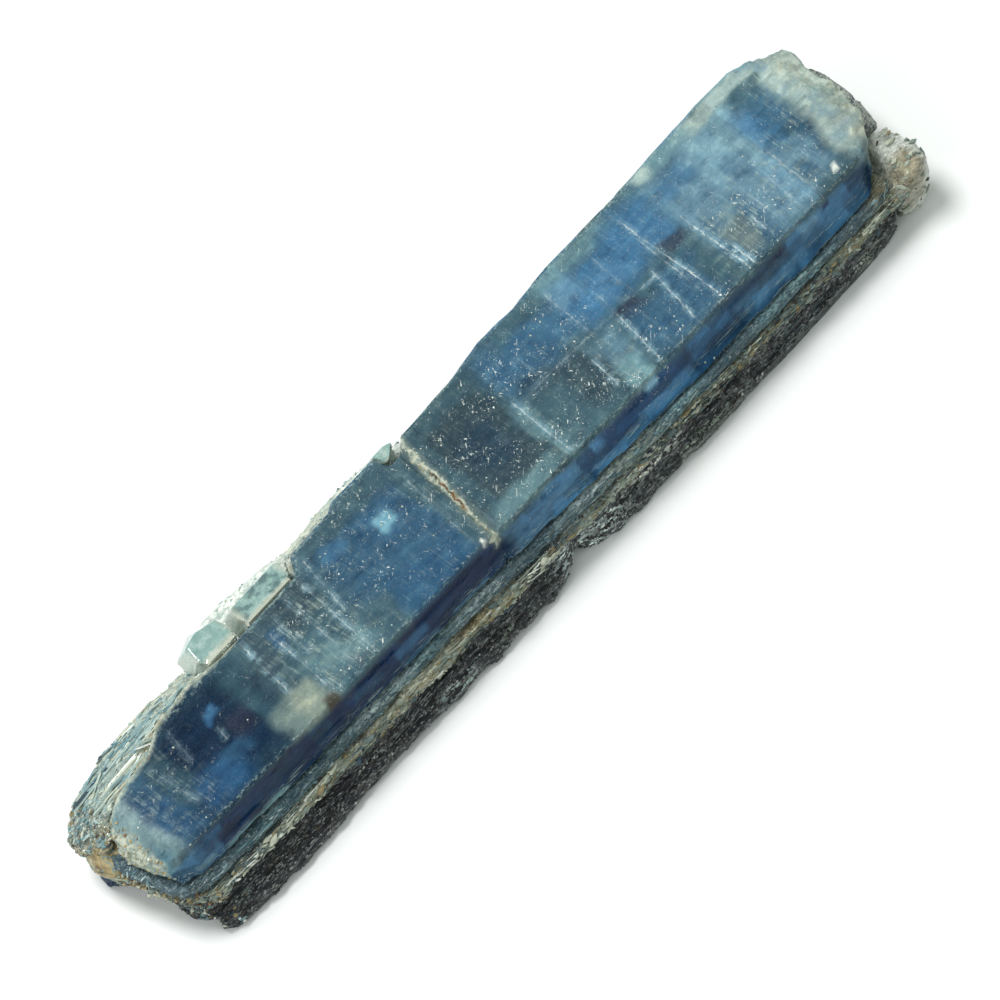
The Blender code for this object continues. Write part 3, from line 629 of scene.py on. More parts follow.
class Finish:
    """A stone material, built up by laying one colour over another. Its places are in millimetres."""

    def __init__(self, name, roughness, specular=0.5, ior=KYANITE_IOR):
        self.material = bpy.data.materials.new(name)
        self.material.use_nodes = True
        self.nodes = self.material.node_tree.nodes
        self.links = self.material.node_tree.links
        self.shader = self.nodes["Principled BSDF"]
        self.shader.inputs["Roughness"].default_value = roughness
        self.shader.inputs["Specular IOR Level"].default_value = specular
        self.shader.inputs["IOR"].default_value = ior
        place = self.add("TexCoord").outputs["Object"]
        self.place = self.add("VectorMath", {0: place, "Scale": 1 / MM}, operation="SCALE").outputs[0]
        self.colour = None

    def put(self, value, socket):
        """Links a value into a socket, or sets it if it is plain."""
        if isinstance(value, bpy.types.NodeSocket):
            self.links.new(value, socket)
        elif isinstance(value, tuple) and len(value) == 3 and len(socket.default_value) == 4:
            socket.default_value = (*value, 1.0)
        else:
            socket.default_value = value

    def add(self, kind, given=None, **settings):
        """A new node with its settings. given holds the values or links for its sockets."""
        node = self.nodes.new("ShaderNode" + kind)
        for setting, choice in settings.items():
            setattr(node, setting, choice)
        for socket, value in (given or {}).items():
            self.put(value, node.inputs[socket])
        return node

    def maths(self, operation, a, b=0.0):
        return self.add("Math", {0: a, 1: b}, operation=operation).outputs[0]

    def times(self, *values):
        """The product of several values."""
        product = values[0]
        for value in values[1:]:
            product = self.maths("MULTIPLY", product, value)
        return product

    def centred(self, noise, reach):
        """Noise from 0 to 1, moved and scaled to lie around 0."""
        return self.times(self.maths("SUBTRACT", noise, 0.5), reach)

    def distance(self, gap, astray):
        """How far a point is from a line, with the line led astray."""
        return self.maths("ABSOLUTE", self.maths("ADD", gap, astray))

    def span(self, value, low, high, top=1.0, bottom=0.0):
        """bottom where value is low, top where it is high, smooth between."""
        given = {"Value": value, "From Min": low, "From Max": high, "To Min": bottom, "To Max": top}
        return self.add("MapRange", given, interpolation_type="SMOOTHSTEP").outputs[0]

    def mix(self, share, a, b, blend="MIX"):
        return self.add("Mix", {0: share, 6: a, 7: b}, data_type="RGBA", blend_type=blend).outputs[2]

    def scaled(self, colour, factors):
        """A colour multiplied by a factor for each of red, green and blue."""
        return self.mix(1.0, colour, factors, "MULTIPLY")

    def lay(self, over, *shares):
        """Lays another colour over the colour so far, as thick as the product of its shares."""
        self.colour = self.mix(self.times(*shares), self.colour, over)

    def tone(self, factors, share):
        """Lightens or darkens the colour so far, as far as share says."""
        self.lay(self.scaled(self.colour, factors), share)

    def stretched(self, size, shift=0.0, turn=0.0):
        """The place divided by size, so that a pattern on it has cells of that size, turned in plan."""
        away = (-shift * size[0], -2.7 * shift * size[1], -1.3 * shift * size[2])
        given = {"Vector": self.place, "Location": away, "Rotation": (0.0, 0.0, turn), "Scale": size}
        return self.add("Mapping", given, vector_type="TEXTURE").outputs[0]

    def noise(self, size, detail=2.0, shift=0.0, rough=0.5, turn=0.0):
        """Noise from 0 to 1. size is its wave in millimetres, and shift takes another part of it."""
        place = self.stretched(size, shift, turn)
        given = {"Vector": place, "Scale": 1.0, "Detail": detail, "Roughness": rough}
        return self.add("TexNoise", given).outputs["Fac"]

    def cells(self, place, feature="F1"):
        """Irregular cells about 1 wide. feature says from what their distance is taken."""
        return self.add("TexVoronoi", {"Vector": place, "Scale": 1.0}, feature=feature)

    def number_of(self, cells):
        """The random number of each cell."""
        return self.add("SeparateColor", {0: cells.outputs["Color"]}).outputs[0]

    def specks(self, size, share, radius, shift=0.0):
        """1 on small round specks. share is how many of the cells hold one."""
        cells = self.cells(self.stretched(size, shift))
        chosen = self.maths("LESS_THAN", self.number_of(cells), share)
        return self.times(self.span(cells.outputs["Distance"], radius, 0.4 * radius), chosen)

    def shards(self, size, shift=0.0):
        """A random number for each of many long bent cells, and 1 along the seams between them."""
        coarse = self.stretched(tuple(2.5 * s for s in size), shift)
        bend = self.add("TexNoise", {"Vector": coarse, "Detail": 4.0}).outputs["Color"]
        given = {0: bend, 1: (SHARD_BEND, SHARD_BEND, SHARD_BEND), 2: self.stretched(size, shift)}
        bent = self.add("VectorMath", given, operation="MULTIPLY_ADD").outputs[0]
        to_edge = self.cells(bent, "DISTANCE_TO_EDGE").outputs["Distance"]
        return self.number_of(self.cells(bent)), self.span(to_edge, 0.12, 0.0)

    def stored(self, name):
        """A number that the mesh keeps at each point."""
        return self.add("Attribute", attribute_name=name).outputs["Fac"]

    def stored_colour(self, name):
        return self.add("Attribute", attribute_name=name).outputs["Color"]

    def bump(self, height, strength, distance=0.05):
        """Fine relief. distance is its depth in millimetres."""
        given = {"Strength": strength, "Distance": distance * MM, "Height": height}
        self.put(self.add("Bump", given).outputs[0], self.shader.inputs["Normal"])

    def finished(self, roughness):
        self.put(self.colour, self.shader.inputs["Base Color"])
        self.put(roughness, self.shader.inputs["Roughness"])
        return self.material


def blue_stone():
    """The broad blade: soft inner colour, crisp cleavage lines, scratches, and dust with painted glints on
    its surface.
    """
    f = Finish("blue_kyanite_stone", 0.32, specular=0.05)
    f.colour = f.stored_colour("inner")
    fine = f.noise((0.16, 0.1, 0.12), 3.0, 3.0)
    smudge = f.noise((0.9, 0.5, 0.6), 5.0, 9.0, 0.6)
    scratch = f.noise((0.16, 2.4, 0.5), 5.0, 15.0, 0.7)
    cloud_tones(f)
    f.lay(PALE, f.span(fine, 0.55, 0.8, 0.05))
    haze = f.stored("haze")
    f.lay(BEIGE, f.span(smudge, 0.42, 0.75, 0.4), haze)
    f.lay(PALE, f.span(scratch, 0.5, 0.7, 0.8), f.span(smudge, 0.4, 0.6), haze)
    lay_partings(f, smudge)
    foot_threads = f.noise((1.6, 0.07, 0.06), 4.0, 19.0, 0.65)
    f.lay(PALE, f.span(foot_threads, 0.54, 0.66, 0.8), f.stored("foot"))
    lay_dust_and_glints(f)
    # Pale dots along the ridge and the left edge: wear, and a painted highlight.
    edge_wear_and_highlight = f.span(f.noise((0.3, 0.2, 0.2), 5.0, 41.0, 0.75), 0.5, 0.62)
    f.lay(PALE, f.stored("edge"), edge_wear_and_highlight)
    crust = f.mix(f.span(f.noise((0.5, 0.35, 0.35), 5.0, 21.0, 0.65), 0.4, 0.6), BEIGE, CREAM)
    crust = f.mix(f.span(f.noise((0.9, 0.6, 0.6), 5.0, 24.0, 0.6), 0.54, 0.66, 0.8), crust, TAN)
    f.lay(crust, f.stored("rim"), f.span(fine, 0.2, 0.45))
    lay_crack(f, crust, smudge)
    f.bump(f.maths("ADD", fine, f.times(scratch, 0.5)), 0.3, 0.05)
    return f.finished(f.span(fine, 0.3, 0.75, 0.5, 0.24))


def cloud_tones(f):
    """Light and dark clouds and grain in the inner colour."""
    cloud = f.noise((1.3, 0.8, 0.9), 6.0, rough=0.66)
    lengthwise = f.noise((3.0, 0.2, 0.3), 3.0, 2.0)
    crosswise = f.noise((0.2, 2.2, 0.5), 4.0, 5.0, 0.6)
    f.tone((2.0, 1.75, 1.55), f.span(cloud, 0.5, 0.7, 0.6))
    f.tone((0.45, 0.5, 0.58), f.span(cloud, 0.5, 0.3, 0.7))
    f.tone((0.6, 0.6, 0.65), f.span(lengthwise, 0.45, 0.3, 0.3))
    f.tone((1.7, 1.6, 1.5), f.span(crosswise, 0.55, 0.75, 0.5))


def lay_partings(f, smudge):
    """Pale broken lines, each with a halo and a little strewn powder, where the stone parts."""
    broken = f.span(f.noise((0.3, 0.3, 0.3), 5.0, 12.0, 0.8), 0.36, 0.64)
    faded = f.span(f.noise((1.6, 1.2, 1.0), 3.0, 13.0), 0.35, 0.6, 1.0, 0.15)
    astray = f.centred(f.noise((0.5, 0.5, 0.5), 5.0, 14.0, 0.7), 0.35)
    sprinkled = f.span(f.noise((0.16, 0.13, 0.14), 3.0, 61.0, 0.6), 0.56, 0.66)
    for k in range(LINE_SETS + 1):
        gap = f.distance(f.stored(f"gap_{k}"), astray)
        line = f.times(f.stored(f"line_{k}"), faded)
        f.lay(PALE_BLUE, f.span(gap, 0.5, 0.0, 0.9), f.span(smudge, 0.34, 0.6), line)
        core = f.times(f.span(gap, 0.1, 0.0, 0.75), broken)
        strewn = f.times(f.span(gap, 0.45, 0.15, 0.3), sprinkled)
        f.lay(WHITE, f.maths("MAXIMUM", core, strewn), line)


def lay_dust_and_glints(f):
    """White chips, grains and powder where dust gathers, which also serve as painted glints, and a few dark
    specks.
    """
    flecks = f.span(f.noise((0.5, 0.15, 0.25), 2.0, 31.0, turn=0.7), 0.65, 0.7)
    grains = f.span(f.noise((0.34, 0.16, 0.25), 2.0, 34.0, turn=-1.0), 0.65, 0.71)
    powder = f.span(f.noise((0.12, 0.1, 0.12), 3.0, 39.0, 0.6), 0.57, 0.72, 0.6)
    gathered = f.span(f.noise((1.5, 1.1, 1.1), 5.0, 37.0, 0.72), 0.45, 0.58)
    glint_and_dust_strength = f.span(f.noise((0.5, 0.4, 0.4), 2.0, 43.0), 0.35, 0.65, 0.9, 0.25)
    specks = f.maths("MAXIMUM", f.maths("MAXIMUM", flecks, grains), powder)
    # White specks: dust, and painted glints.
    f.lay(WHITE, specks, gathered, glint_and_dust_strength, f.stored("dust"))
    f.lay(BROWN, f.specks((0.9, 0.8, 0.9), 0.25, 0.09, 8.0), 0.6)


def lay_crack(f, crust, smudge):
    """The open parting: a pale margin, crusted lips, and a rusty slit along its middle."""
    astray = f.centred(f.noise((0.9, 0.7, 0.7), 5.0, 51.0, 0.65), 0.7)
    gap = f.distance(f.stored("crack_gap"), astray)
    opening = f.span(f.noise((1.3, 0.9, 0.9), 3.0, 54.0), 0.32, 0.66, 0.32, 0.09)
    near_crack = f.stored("crack")
    f.lay(BEIGE, f.span(gap, 0.6, 0.1, 0.45), near_crack)
    f.lay(crust, f.span(f.maths("DIVIDE", gap, opening), 1.2, 0.5, 0.9), near_crack)
    inside = f.mix(f.span(smudge, 0.4, 0.6), BROWN, RUST)
    f.lay(inside, f.span(gap, 0.11, 0.03), f.span(opening, 0.14, 0.22), f.stored("slit"))


def fibrous_stone(name, dark, pale, roughness=0.5, streak=0.7, flecked=0.85, rusty=0.5, grain=1.0):
    """Side bands: crumbly lengthwise layers and splinters, light and dark, over the stored colour.

    grain draws its pattern out along the blade, into longer fibres.
    """
    f = Finish(name, roughness, specular=0.12)
    inner = f.stored_colour("inner")
    threads = f.noise((0.5 * grain, 0.12, 0.1), 5.0, 1.0, 0.7)
    blotch = f.noise((0.9, 0.5, 0.4), 6.0, 7.0, 0.65)
    grit = f.noise((0.2 * grain, 0.12, 0.11), 5.0, 10.0, 0.75)
    large, deep = f.shards((0.85 * grain, 0.34, 0.26), 3.0)
    small, thin = f.shards((0.26 * grain, 0.14, 0.12), 6.0)
    lighter = f.mix(0.45, f.scaled(inner, (2.2, 2.1, 1.9)), pale)
    f.colour = inner
    f.tone((0.3, 0.33, 0.36), f.span(blotch, 0.46, 0.34, 0.7))
    f.lay(dark, f.span(large, 0.35, 0.0, 0.75))
    f.lay(lighter, f.span(large, 0.7, 1.0, 0.6))
    f.lay(dark, f.span(small, 0.3, 0.0, streak))
    f.lay(lighter, f.span(small, 0.72, 0.95, streak))
    f.lay(dark, f.span(threads, 0.47, 0.36, streak))
    f.lay(RUST, f.span(f.noise((1.4, 0.6, 0.4), 5.0, 17.0, 0.65), 0.6, 0.7, rusty))
    f.lay(dark, f.maths("MAXIMUM", deep, f.times(thin, 0.4)), 0.55)
    gathered = f.span(f.noise((1.3, 0.5, 0.4), 5.0, 27.0, 0.7), 0.42, 0.6, 1.0, 0.15)
    f.lay(WHITE, f.span(grit, 0.56, 0.63, flecked), gathered)
    f.lay(dark, f.span(grit, 0.43, 0.36, 0.7))
    cloudy = f.span(f.noise((0.8, 0.6, 0.6), 5.0, 21.0, 0.6), 0.55, 0.35, 0.6)
    f.lay(f.mix(cloudy, inner, f.scaled(inner, (0.6, 0.56, 0.5))), f.stored("calm"))
    f.bump(f.maths("ADD", f.maths("ADD", threads, grit), f.times(deep, -0.6)), 0.6, 0.08)
    return f.finished(f.span(threads, 0.35, 0.7, roughness - 0.1, roughness + 0.12))


def mica_stone():
    """Black mica schist: bent dark flakes, some of them silvery, with painted glints on small chips and pale
    threads along it.
    """
    f = Finish("black_mica_stone", 0.4, specular=0.15, ior=MICA_IOR)
    inner = f.stored_colour("inner")
    threads = f.noise((0.9, 0.08, 0.07), 5.0, 2.0, 0.75)
    layers = f.noise((3.0, 0.5, 0.3), 4.0, 5.0)
    flake, seam = f.shards((0.55, 0.17, 0.13), 2.0)
    chip, gap = f.shards((0.2, 0.08, 0.07), 9.0)
    f.colour = f.mix(f.span(flake, 0.2, 0.9), SOOT, inner)
    f.lay(f.scaled(inner, (2.4, 2.3, 2.1)), f.span(flake, 0.84, 0.96, 0.8))
    # Painted glints: a few small chips are made pale.
    f.lay(PAINTED_MICA_GLINT, f.span(chip, 0.9, 0.97, 0.7))
    f.lay(SOOT, f.span(chip, 0.25, 0.05, 0.7))
    f.lay(MICA_THREAD, f.span(threads, 0.52, 0.62), f.span(layers, 0.42, 0.58))
    f.lay(BROWN, f.span(f.noise((1.1, 0.5, 0.4), 4.0, 6.0), 0.62, 0.74, 0.4))
    f.lay(SOOT, f.maths("MAXIMUM", seam, gap), 0.3)
    f.bump(f.maths("ADD", f.maths("ADD", flake, threads), f.times(seam, -0.5)), 0.35, 0.05)
    return f.finished(f.span(chip, 0.3, 0.7, 0.25, 0.5))


def clear_stone(node, depth):
    """A small pale crystal, partly see-through, with a cream rim round its upper face and painted light on
    its side faces.

    depth is how dark it looks where the stone behind it shows through.
    """
    f = Finish(node + "_finish", 0.18, specular=0.4)
    low, high = (np.array(corner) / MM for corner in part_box(node))
    cloud = f.noise((0.7, 0.5, 0.5), 5.0, 1.0, 0.6)
    veil = f.noise((0.08, 0.7, 0.4), 3.0, 3.0)
    spots = f.noise((0.15, 0.12, 0.12), 2.0, 5.0)
    parts = f.add("SeparateXYZ", {0: f.place})
    reach = []
    for k in range(2):
        off_centre = f.distance(parts.outputs[k], -(low[k] + high[k]) / 2)
        reach.append(f.maths("DIVIDE", off_centre, (high[k] - low[k]) / 2))
    outward = f.maths("ADD", f.maths("MAXIMUM", *reach), f.centred(cloud, 0.3))
    f.colour = f.mix(f.span(cloud, 0.56, 0.36, depth), AQUA, DEEP_AQUA)
    f.lay(RIM_CREAM, f.span(outward, 0.6, 0.95))
    # Painted light: the faces below the top face are made paler, against the shade that falls on them.
    f.lay(PAINTED_LIGHT_AQUA, f.span(parts.outputs[2], high[2] - 0.15, high[2] - 0.4, 0.7))
    f.lay(WHITE, f.span(cloud, 0.5, 0.8, 0.5))
    f.lay(WHITE, f.span(veil, 0.6, 0.75, 0.3))
    f.lay(BEIGE, f.span(spots, 0.66, 0.72, 0.6))
    f.shader.inputs["Transmission Weight"].default_value = CRYSTAL_CLEARNESS
    inside = f.nodes.new("ShaderNodeVolumeAbsorption")
    inside.inputs["Color"].default_value = (*CRYSTAL_ABSORPTION, 1.0)
    inside.inputs["Density"].default_value = CRYSTAL_DENSITY
    f.links.new(inside.outputs[0], f.nodes["Material Output"].inputs["Volume"])
    f.bump(cloud, 0.3, 0.04)
    return f.finished(f.span(cloud, 0.4, 0.7, 0.35, 0.14))


def tinted_stone(name, shades, roughness, specular):
    """A finish for many small pieces: each takes its own shade from a row of colours."""
    f = Finish(name, roughness, specular)
    tint = f.stored("tint")
    f.colour = shades[0]
    for k, shade in enumerate(shades[1:], 1):
        start = k / len(shades)
        f.lay(shade, f.span(tint, start - 0.04, start + 0.04))
    grain = f.noise((0.3, 0.1, 0.1), 3.0, 1.0)
    f.tone((0.5, 0.5, 0.5), f.span(grain, 0.4, 0.7, 0.35))
    f.bump(grain, 0.2, 0.02)
    return f.finished(f.span(grain, 0.3, 0.7, roughness + 0.1, roughness - 0.08))


# ---- the broad blade ----


def left_edge(x):
    """Roughly where the broad face ends on its left side."""
    return np.interp(x, *zip(*LEFT_EDGE))


def ridge_line(x):
    """Where the broad face ends on its bevelled side."""
    return np.interp(x, *zip(*RIDGE))


def main_blade():
    """The broad blue blade: its shape, and the colours and marks that its finish reads."""
    data = fine_copy("main_blade", 0.16)
    p, n = points_of(data), normals_of(data)
    top = eased(n[:, 2], 0.55, 0.85) * eased(p[:, 2], 6.6, 7.2)
    bevel = eased(-n[:, 1], 0.5, 0.8)
    left = eased(n[:, 1], 0.3, 0.6)
    lines = line_fields(PARTINGS, p) + line_fields(LENGTH_LINES, p, lengthwise=True)
    store(data, "inner", blade_colours(p, n, left))
    store_marks(data, p, top, bevel, left)
    store_rim(data, p, left)
    store_crack(data, p)
    for k, (gap, strength) in enumerate(lines):
        store(data, f"gap_{k}", gap)
        store(data, f"line_{k}", top * strength)
    relief = blade_relief(p, top, bevel, lines)
    dress(data, drawn_out(p, n, relief), "main_blade", blue_stone())


def blade_relief(p, top, bevel, lines):
    """How far each point moves out: cleavage steps, parting grooves, pits and flaked ends."""
    x, y, z = p.T
    offset = 0.03 * layered(p, (7.0, 2.2, 2.0), 1) + 0.012 * layered(p, (1.3, 0.35, 0.4), 2)
    offset += top * 0.03 * (mosaic(x, y + 0.1 * x, 3.1, 1.3, 3) - 0.5)
    offset += bevel * 0.12 * (mosaic(x, z, *BEVEL_STEP, BEVEL_SEED) - 0.6)
    offset += bevel * 0.015 * smooth(p, (1.5, 0.2, 0.14), 6)
    for gap, strength in lines:
        offset -= top * GROOVE_DEPTH * strength * np.exp(-((gap / GROOVE_WIDTH) ** 2))
    offset -= 0.035 * eased(smooth(p, (0.4, 0.28, 0.4), 8), 0.7, 0.9)
    ends = eased(x, 28.5, 31.0) + faded(x, -33.0, -31.5)
    wavy_x, wavy_y = x + 0.5 * smooth(p, (1, 1, 1), 9), y + 0.4 * smooth(p, (1.2, 1, 1), 10)
    flakes = mosaic(wavy_x, wavy_y, 1.1, 0.9, 11)
    offset += ends * (0.2 * (flakes - 0.7) + 0.1 * layered(p, (0.7, 0.5, 0.5), 12, 4))
    edge = top * faded(left_edge(x) - y, 0.0, 0.45)
    return offset - edge * 0.14 * mosaic(x, z, 0.7, 9.0, 13)


def drawn_out(p, n, relief):
    """The blade's points moved out by the relief, with its far tip, left wall and open parting drawn out."""
    x, y, z = p.T
    shaped = p + n * relief[:, None]
    shaped[:, 0] += 0.7 * eased(x, 30.0, 32.5) * eased(z, 5.6, 7.4) * faded(y, 0.0, 2.5)
    shaped[:, 1] += 0.2 * eased(n[:, 1], 0.2, 0.6) * faded(x, -23.0, -21.0)
    shaped[:, 0] += 0.076 * y * faded(np.abs(x + 4.2), 0.5, 1.8) * eased(z, 6.9, 7.4)
    return shaped


def blade_colours(p, n, left):
    """The colour inside the blade, as seen through its top, its bevelled side, its left wall and its base."""
    x, y, z = p.T
    warp_x, warp_y = (0.45 * layered(p, (1.7, 1.3, 1.5), 21 + k, 5) for k in range(2))
    colours = painted(TOP_PATCHES, x + warp_x, y + warp_y, TEAL_GREY)
    colours *= (0.84 + 0.34 * between_partings(x + 0.3 * warp_x, y + 0.3 * warp_y, 23))[:, None]
    colours *= 1 - np.outer(faded(x, -21.5, -20.5), NEAR_END_DIMMING)
    mottled = eased(layered(p, (1.3, 1.1, 1.0), 27, 5), 0.0, 0.5)
    paint(colours, 0.6 * eased(x, 29.2, 30.6) * mottled, MISTY_BLUE)
    on_bevel = faded(y - ridge_line(x), -0.25, -0.07)
    paint(colours, on_bevel, bevel_colours(x, z, 0.25 * warp_x))
    wall = stretch_colours(x, WALL_STRETCHES) * (0.7 + 0.6 * mosaic(x, z, 2.3, 0.9, 29))[:, None]
    paint(colours, 0.8 * left, wall)
    paint(colours, eased(-n[:, 2], 0.3, 0.7), GREEN_GREY)
    return colours


def bevel_colours(x, z, warp):
    """Crisp leaning patches in lighter and darker steps, with painted light brightening the middle of the
    blade.
    """
    colours = painted(BEVEL_PATCHES, x + warp + 0.25 * (z - 6.9), z, NAVY, crisp=True)
    colours *= (0.75 + 0.55 * mosaic(x + 0.2 * z, z, *BEVEL_STEP, BEVEL_SEED))[:, None]
    # Painted light: the bevelled side is made up to 45% brighter from about x = -3 to x = 22.
    return colours * (1.0 + 0.45 * eased(x, -3.5, -2.0) * faded(x, 14.0, 22.0))[:, None]


def store_marks(data, p, top, bevel, left):
    """Keeps how hazy the blade is, where dust and painted glints gather, where its edges are pale with wear
    and painted highlight, and how fibrous its foot is.
    """
    x, y, z = p.T
    haze = np.maximum(summed(HAZE, x, y), 0.2 * eased(x, -20.0, -15.0))
    dust = summed(DUST, x, y)
    plain = 0.15 + 0.2 * eased(x, -20.0, -14.0)
    on_ridge = faded(np.abs(y - ridge_line(x)), 0.02, 0.16)
    on_left = faded(np.abs(y - left_edge(x)), 0.1, 0.5)
    store(data, "haze", top * haze + 0.9 * left)
    store(data, "foot", bevel * faded(z, 5.3, 5.9))
    store(data, "dust", top * (plain + dust) + bevel * (0.04 + 0.4 * dust) + 0.25 * left)
    # Pale edges: wear and painted highlight.
    store(data, "edge", 0.6 * eased(z, 7.5, 7.8) * (on_ridge + on_left))


def store_rim(data, p, left):
    """Keeps where the blade is crusted: its near end, the seam beside the left crystal, and its far end."""
    x, y, z = p.T
    torn = 0.25 * layered(p, (0.8, 0.5, 0.5), 31)
    near_end = faded(x + torn, -33.7, -33.2) * faded(z + torn, 7.2, 7.7)
    seam = left * faded(x, -20.5, -19.5) * eased(z + torn, 6.9, 7.3)
    far_end = eased(x + torn, 30.6, 32.2)
    store(data, "rim", np.clip(0.9 * near_end + 0.9 * seam + 0.5 * far_end, 0, 1))


def store_crack(data, p):
    """Keeps how far each point is past the open parting, and how near it is to it and to its rusty slit."""
    x, y, z = p.T
    lean = (CRACK[0] - CRACK[2]) / (CRACK[1] - CRACK[3])
    gap = x - (CRACK[0] + lean * (y - CRACK[1]))
    near_crack = eased(z, 6.3, 6.9) * faded(np.abs(gap), 0.9, 1.2)
    store(data, "crack_gap", gap)
    store(data, "crack", near_crack)
    store(data, "slit", near_crack * eased(y, -1.8, -0.6) * faded(y, 1.6, 2.6))


# ---- the blades under it ----


def under_blade(node, voxel, seed, material, depth, painter=None, growth=0.09):
    """A blade whose outer side is splintered into lengthwise fibres. painter gives the colour inside it."""
    data = fine_copy(node, voxel)
    p, n = points_of(data), normals_of(data)
    x, y, z = p.T
    shaped = p + n * splintered(node, p, n, seed, depth, growth)[:, None]
    corner = faded(x, -33.0, -30.5) * faded(y, -5.8, -3.6) * faded(z, 0.8, 2.4)
    shaped[:, :2] += corner[:, None] * np.array(CORNER_CUT)
    if painter:
        wavy = p + 0.3 * np.column_stack([layered(p, (1.5, 1, 0.6), seed + 5 + k) for k in range(3)])
        store(data, "inner", painter(wavy))
        store(data, "calm", far_tip(wavy))
    dress(data, shaped, node, material)


def splintered(node, p, n, seed, depth, growth):
    """How far each point moves out: fibres on its sides, rough ends, and a spread at the floor."""
    x, _, z = p.T
    side = np.maximum(eased(np.abs(n[:, 1]), 0.3, 0.7), eased(n[:, 2], 0.2, 0.6))
    outer = eased(-n[:, 1], 0.3, 0.7)
    ends = eased(np.abs(n[:, 0]), 0.3, 0.7)
    fibres = smooth(p, (1.9, 0.3, 0.17), seed + 1) + 0.6 * smooth(p, (0.9, 0.2, 0.1), seed + 2)
    offset = growth + 0.6 * depth * layered(p, (1.5, 0.8, 0.6), seed)
    offset += depth * side * fibres
    offset -= 0.9 * depth * side * mosaic(x, z, 1.3, 0.22, seed + 3)
    offset += ends * 1.8 * depth * layered(p, (0.6, 0.4, 0.35), seed + 4, 4)
    spread = FOOT_GROWTH.get(node, 0.0) * (1 + 1.2 * faded(x, -26.0, -16.0))
    return offset + outer * (spread * faded(z, 0.6, 2.2) + SIDE_GROWTH.get(node, 0.0))


def far_tip(p):
    """How smooth the stone is: more so on the blunt tip at the far end, 0 elsewhere."""
    return 0.5 * eased(p[:, 0], 31.4, 32.4) * faded(p[:, 1], -3.2, -2.4)


def side_bands(p, stretches):
    """Stretches of colour along a blade, and a pale blunt tip with a brown patch at its far end."""
    x, y, z = p.T
    colours = stretch_colours(x, stretches)
    paint(colours, 0.6 * faded(z, 1.7, 2.7) * faded(x, 30.5, 31.5), SLATE)
    right = faded(y, -3.2, -2.6)
    paint(colours, eased(x, 32.4, 33.0) * (1 - right), TONGUE_GREY)
    tip = eased(x, 31.2, 32.2) * right
    paint(colours, tip, WHITE)
    paint(colours, 0.8 * tip * patch(32.6, -6.0, 1.1, 0.9, y, x), TAN)
    paint(colours, 0.7 * tip * patch(33.4, -3.9, 0.5, 0.5, y, x), BEIGE)
    return colours


def grey_colours(p):
    return side_bands(p, GREY_STRETCHES)


def cream_colours(p):
    return side_bands(p, CREAM_STRETCHES)


def mica_colours(p):
    """Nearly black, with paler places."""
    return painted(MICA_PATCHES, p[:, 0], p[:, 2], MICA_BLACK)


def dark_colours(p):
    """Navy and slate, a little greyer where it touches the floor."""
    colours = stretch_colours(p[:, 0], DARK_STRETCHES)
    paint(colours, 0.6 * faded(p[:, 2], 0.3, 1.2), SLATE)
    return colours


def side_fibre_colours(p):
    """Pale leaning fibres, dark at the near end and rusty where they meet the lump."""
    x, y, z = p.T
    colours = painted(SIDE_PATCHES, x, z, BEIGE)
    paint(colours, faded(x, -33.8, -33.1) * faded(y, 2.3, 3.1), OCHRE)
    paint(colours, 0.85 * faded(y - left_edge(x), 0.35, 0.75) * eased(x, -32.8, -31.5), SEAM_CREAM)
    return colours


def back_rim_colours(p):
    """Pale, with a brown line where it meets the broad blade."""
    colours = stretch_colours(p[:, 0], BACK_STRETCHES)
    paint(colours, 0.6 * faded(p[:, 1] - left_edge(p[:, 0]), 0.15, 0.4), TAN)
    return colours


def under_blades():
    """Every blade and crystal beside and under the broad one."""
    grey = fibrous_stone("grey_kyanite_stone", SLATE, SILVER, 0.45, streak=0.6, rusty=0.15)
    cream = fibrous_stone("cream_kyanite_stone", BROWN, CREAM)
    dark = fibrous_stone("dark_kyanite_stone", INK, TEAL_GREY, 0.35, streak=0.5, flecked=0.3, rusty=0.0)
    green = fibrous_stone("green_kyanite_stone", GREEN_GREY, WHITE, 0.45, streak=0.5, rusty=0.2, grain=2.6)
    pale = fibrous_stone("pale_kyanite_stone", PALE, WHITE, 0.4, streak=0.4, rusty=0.1)
    under_blade("grey_blade", 0.17, 100, grey, 0.07, grey_colours)
    under_blade("cream_blade", 0.19, 200, cream, 0.09, cream_colours)
    under_blade("mica_seam", 0.17, 300, mica_stone(), 0.1, mica_colours)
    under_blade("dark_blade", 0.2, 400, dark, 0.08, dark_colours)
    under_blade("side_blade", 0.13, 500, green, 0.09, side_fibre_colours, growth=0.16)
    under_blade("back_blade", 0.14, 600, pale, 0.04, back_rim_colours)
    for node, seed, rough, depth in CLEAR_CRYSTALS:
        under_blade(node, 0.08, seed, clear_stone(node, depth), rough, growth=0.03)


# ---- splinters and flakes ----


def seats(blade, wanted, count, rng):
    """Random points of a blade's surface and their outward directions. wanted says how likely each is."""
    points, normals = points_of(blade) / MM, normals_of(blade)
    weights = wanted(points, normals).astype(float)
    picked = rng.choice(len(points), count, p=weights / weights.sum())
    return points[picked], normals[picked]


def frames_on(normals, tilt, turn, rng):
    """For each normal a tilted frame: along the blade, across it, and out of the surface."""
    out = normals + rng.normal(0, tilt, normals.shape)
    out /= np.linalg.norm(out, axis=1)[:, None]
    along = np.tile([1.0, 0.0, 0.0], (len(out), 1)) + rng.normal(0, turn, out.shape)
    along -= out * np.sum(along * out, axis=1)[:, None]
    along /= np.linalg.norm(along, axis=1)[:, None]
    return along, np.cross(out, along), out


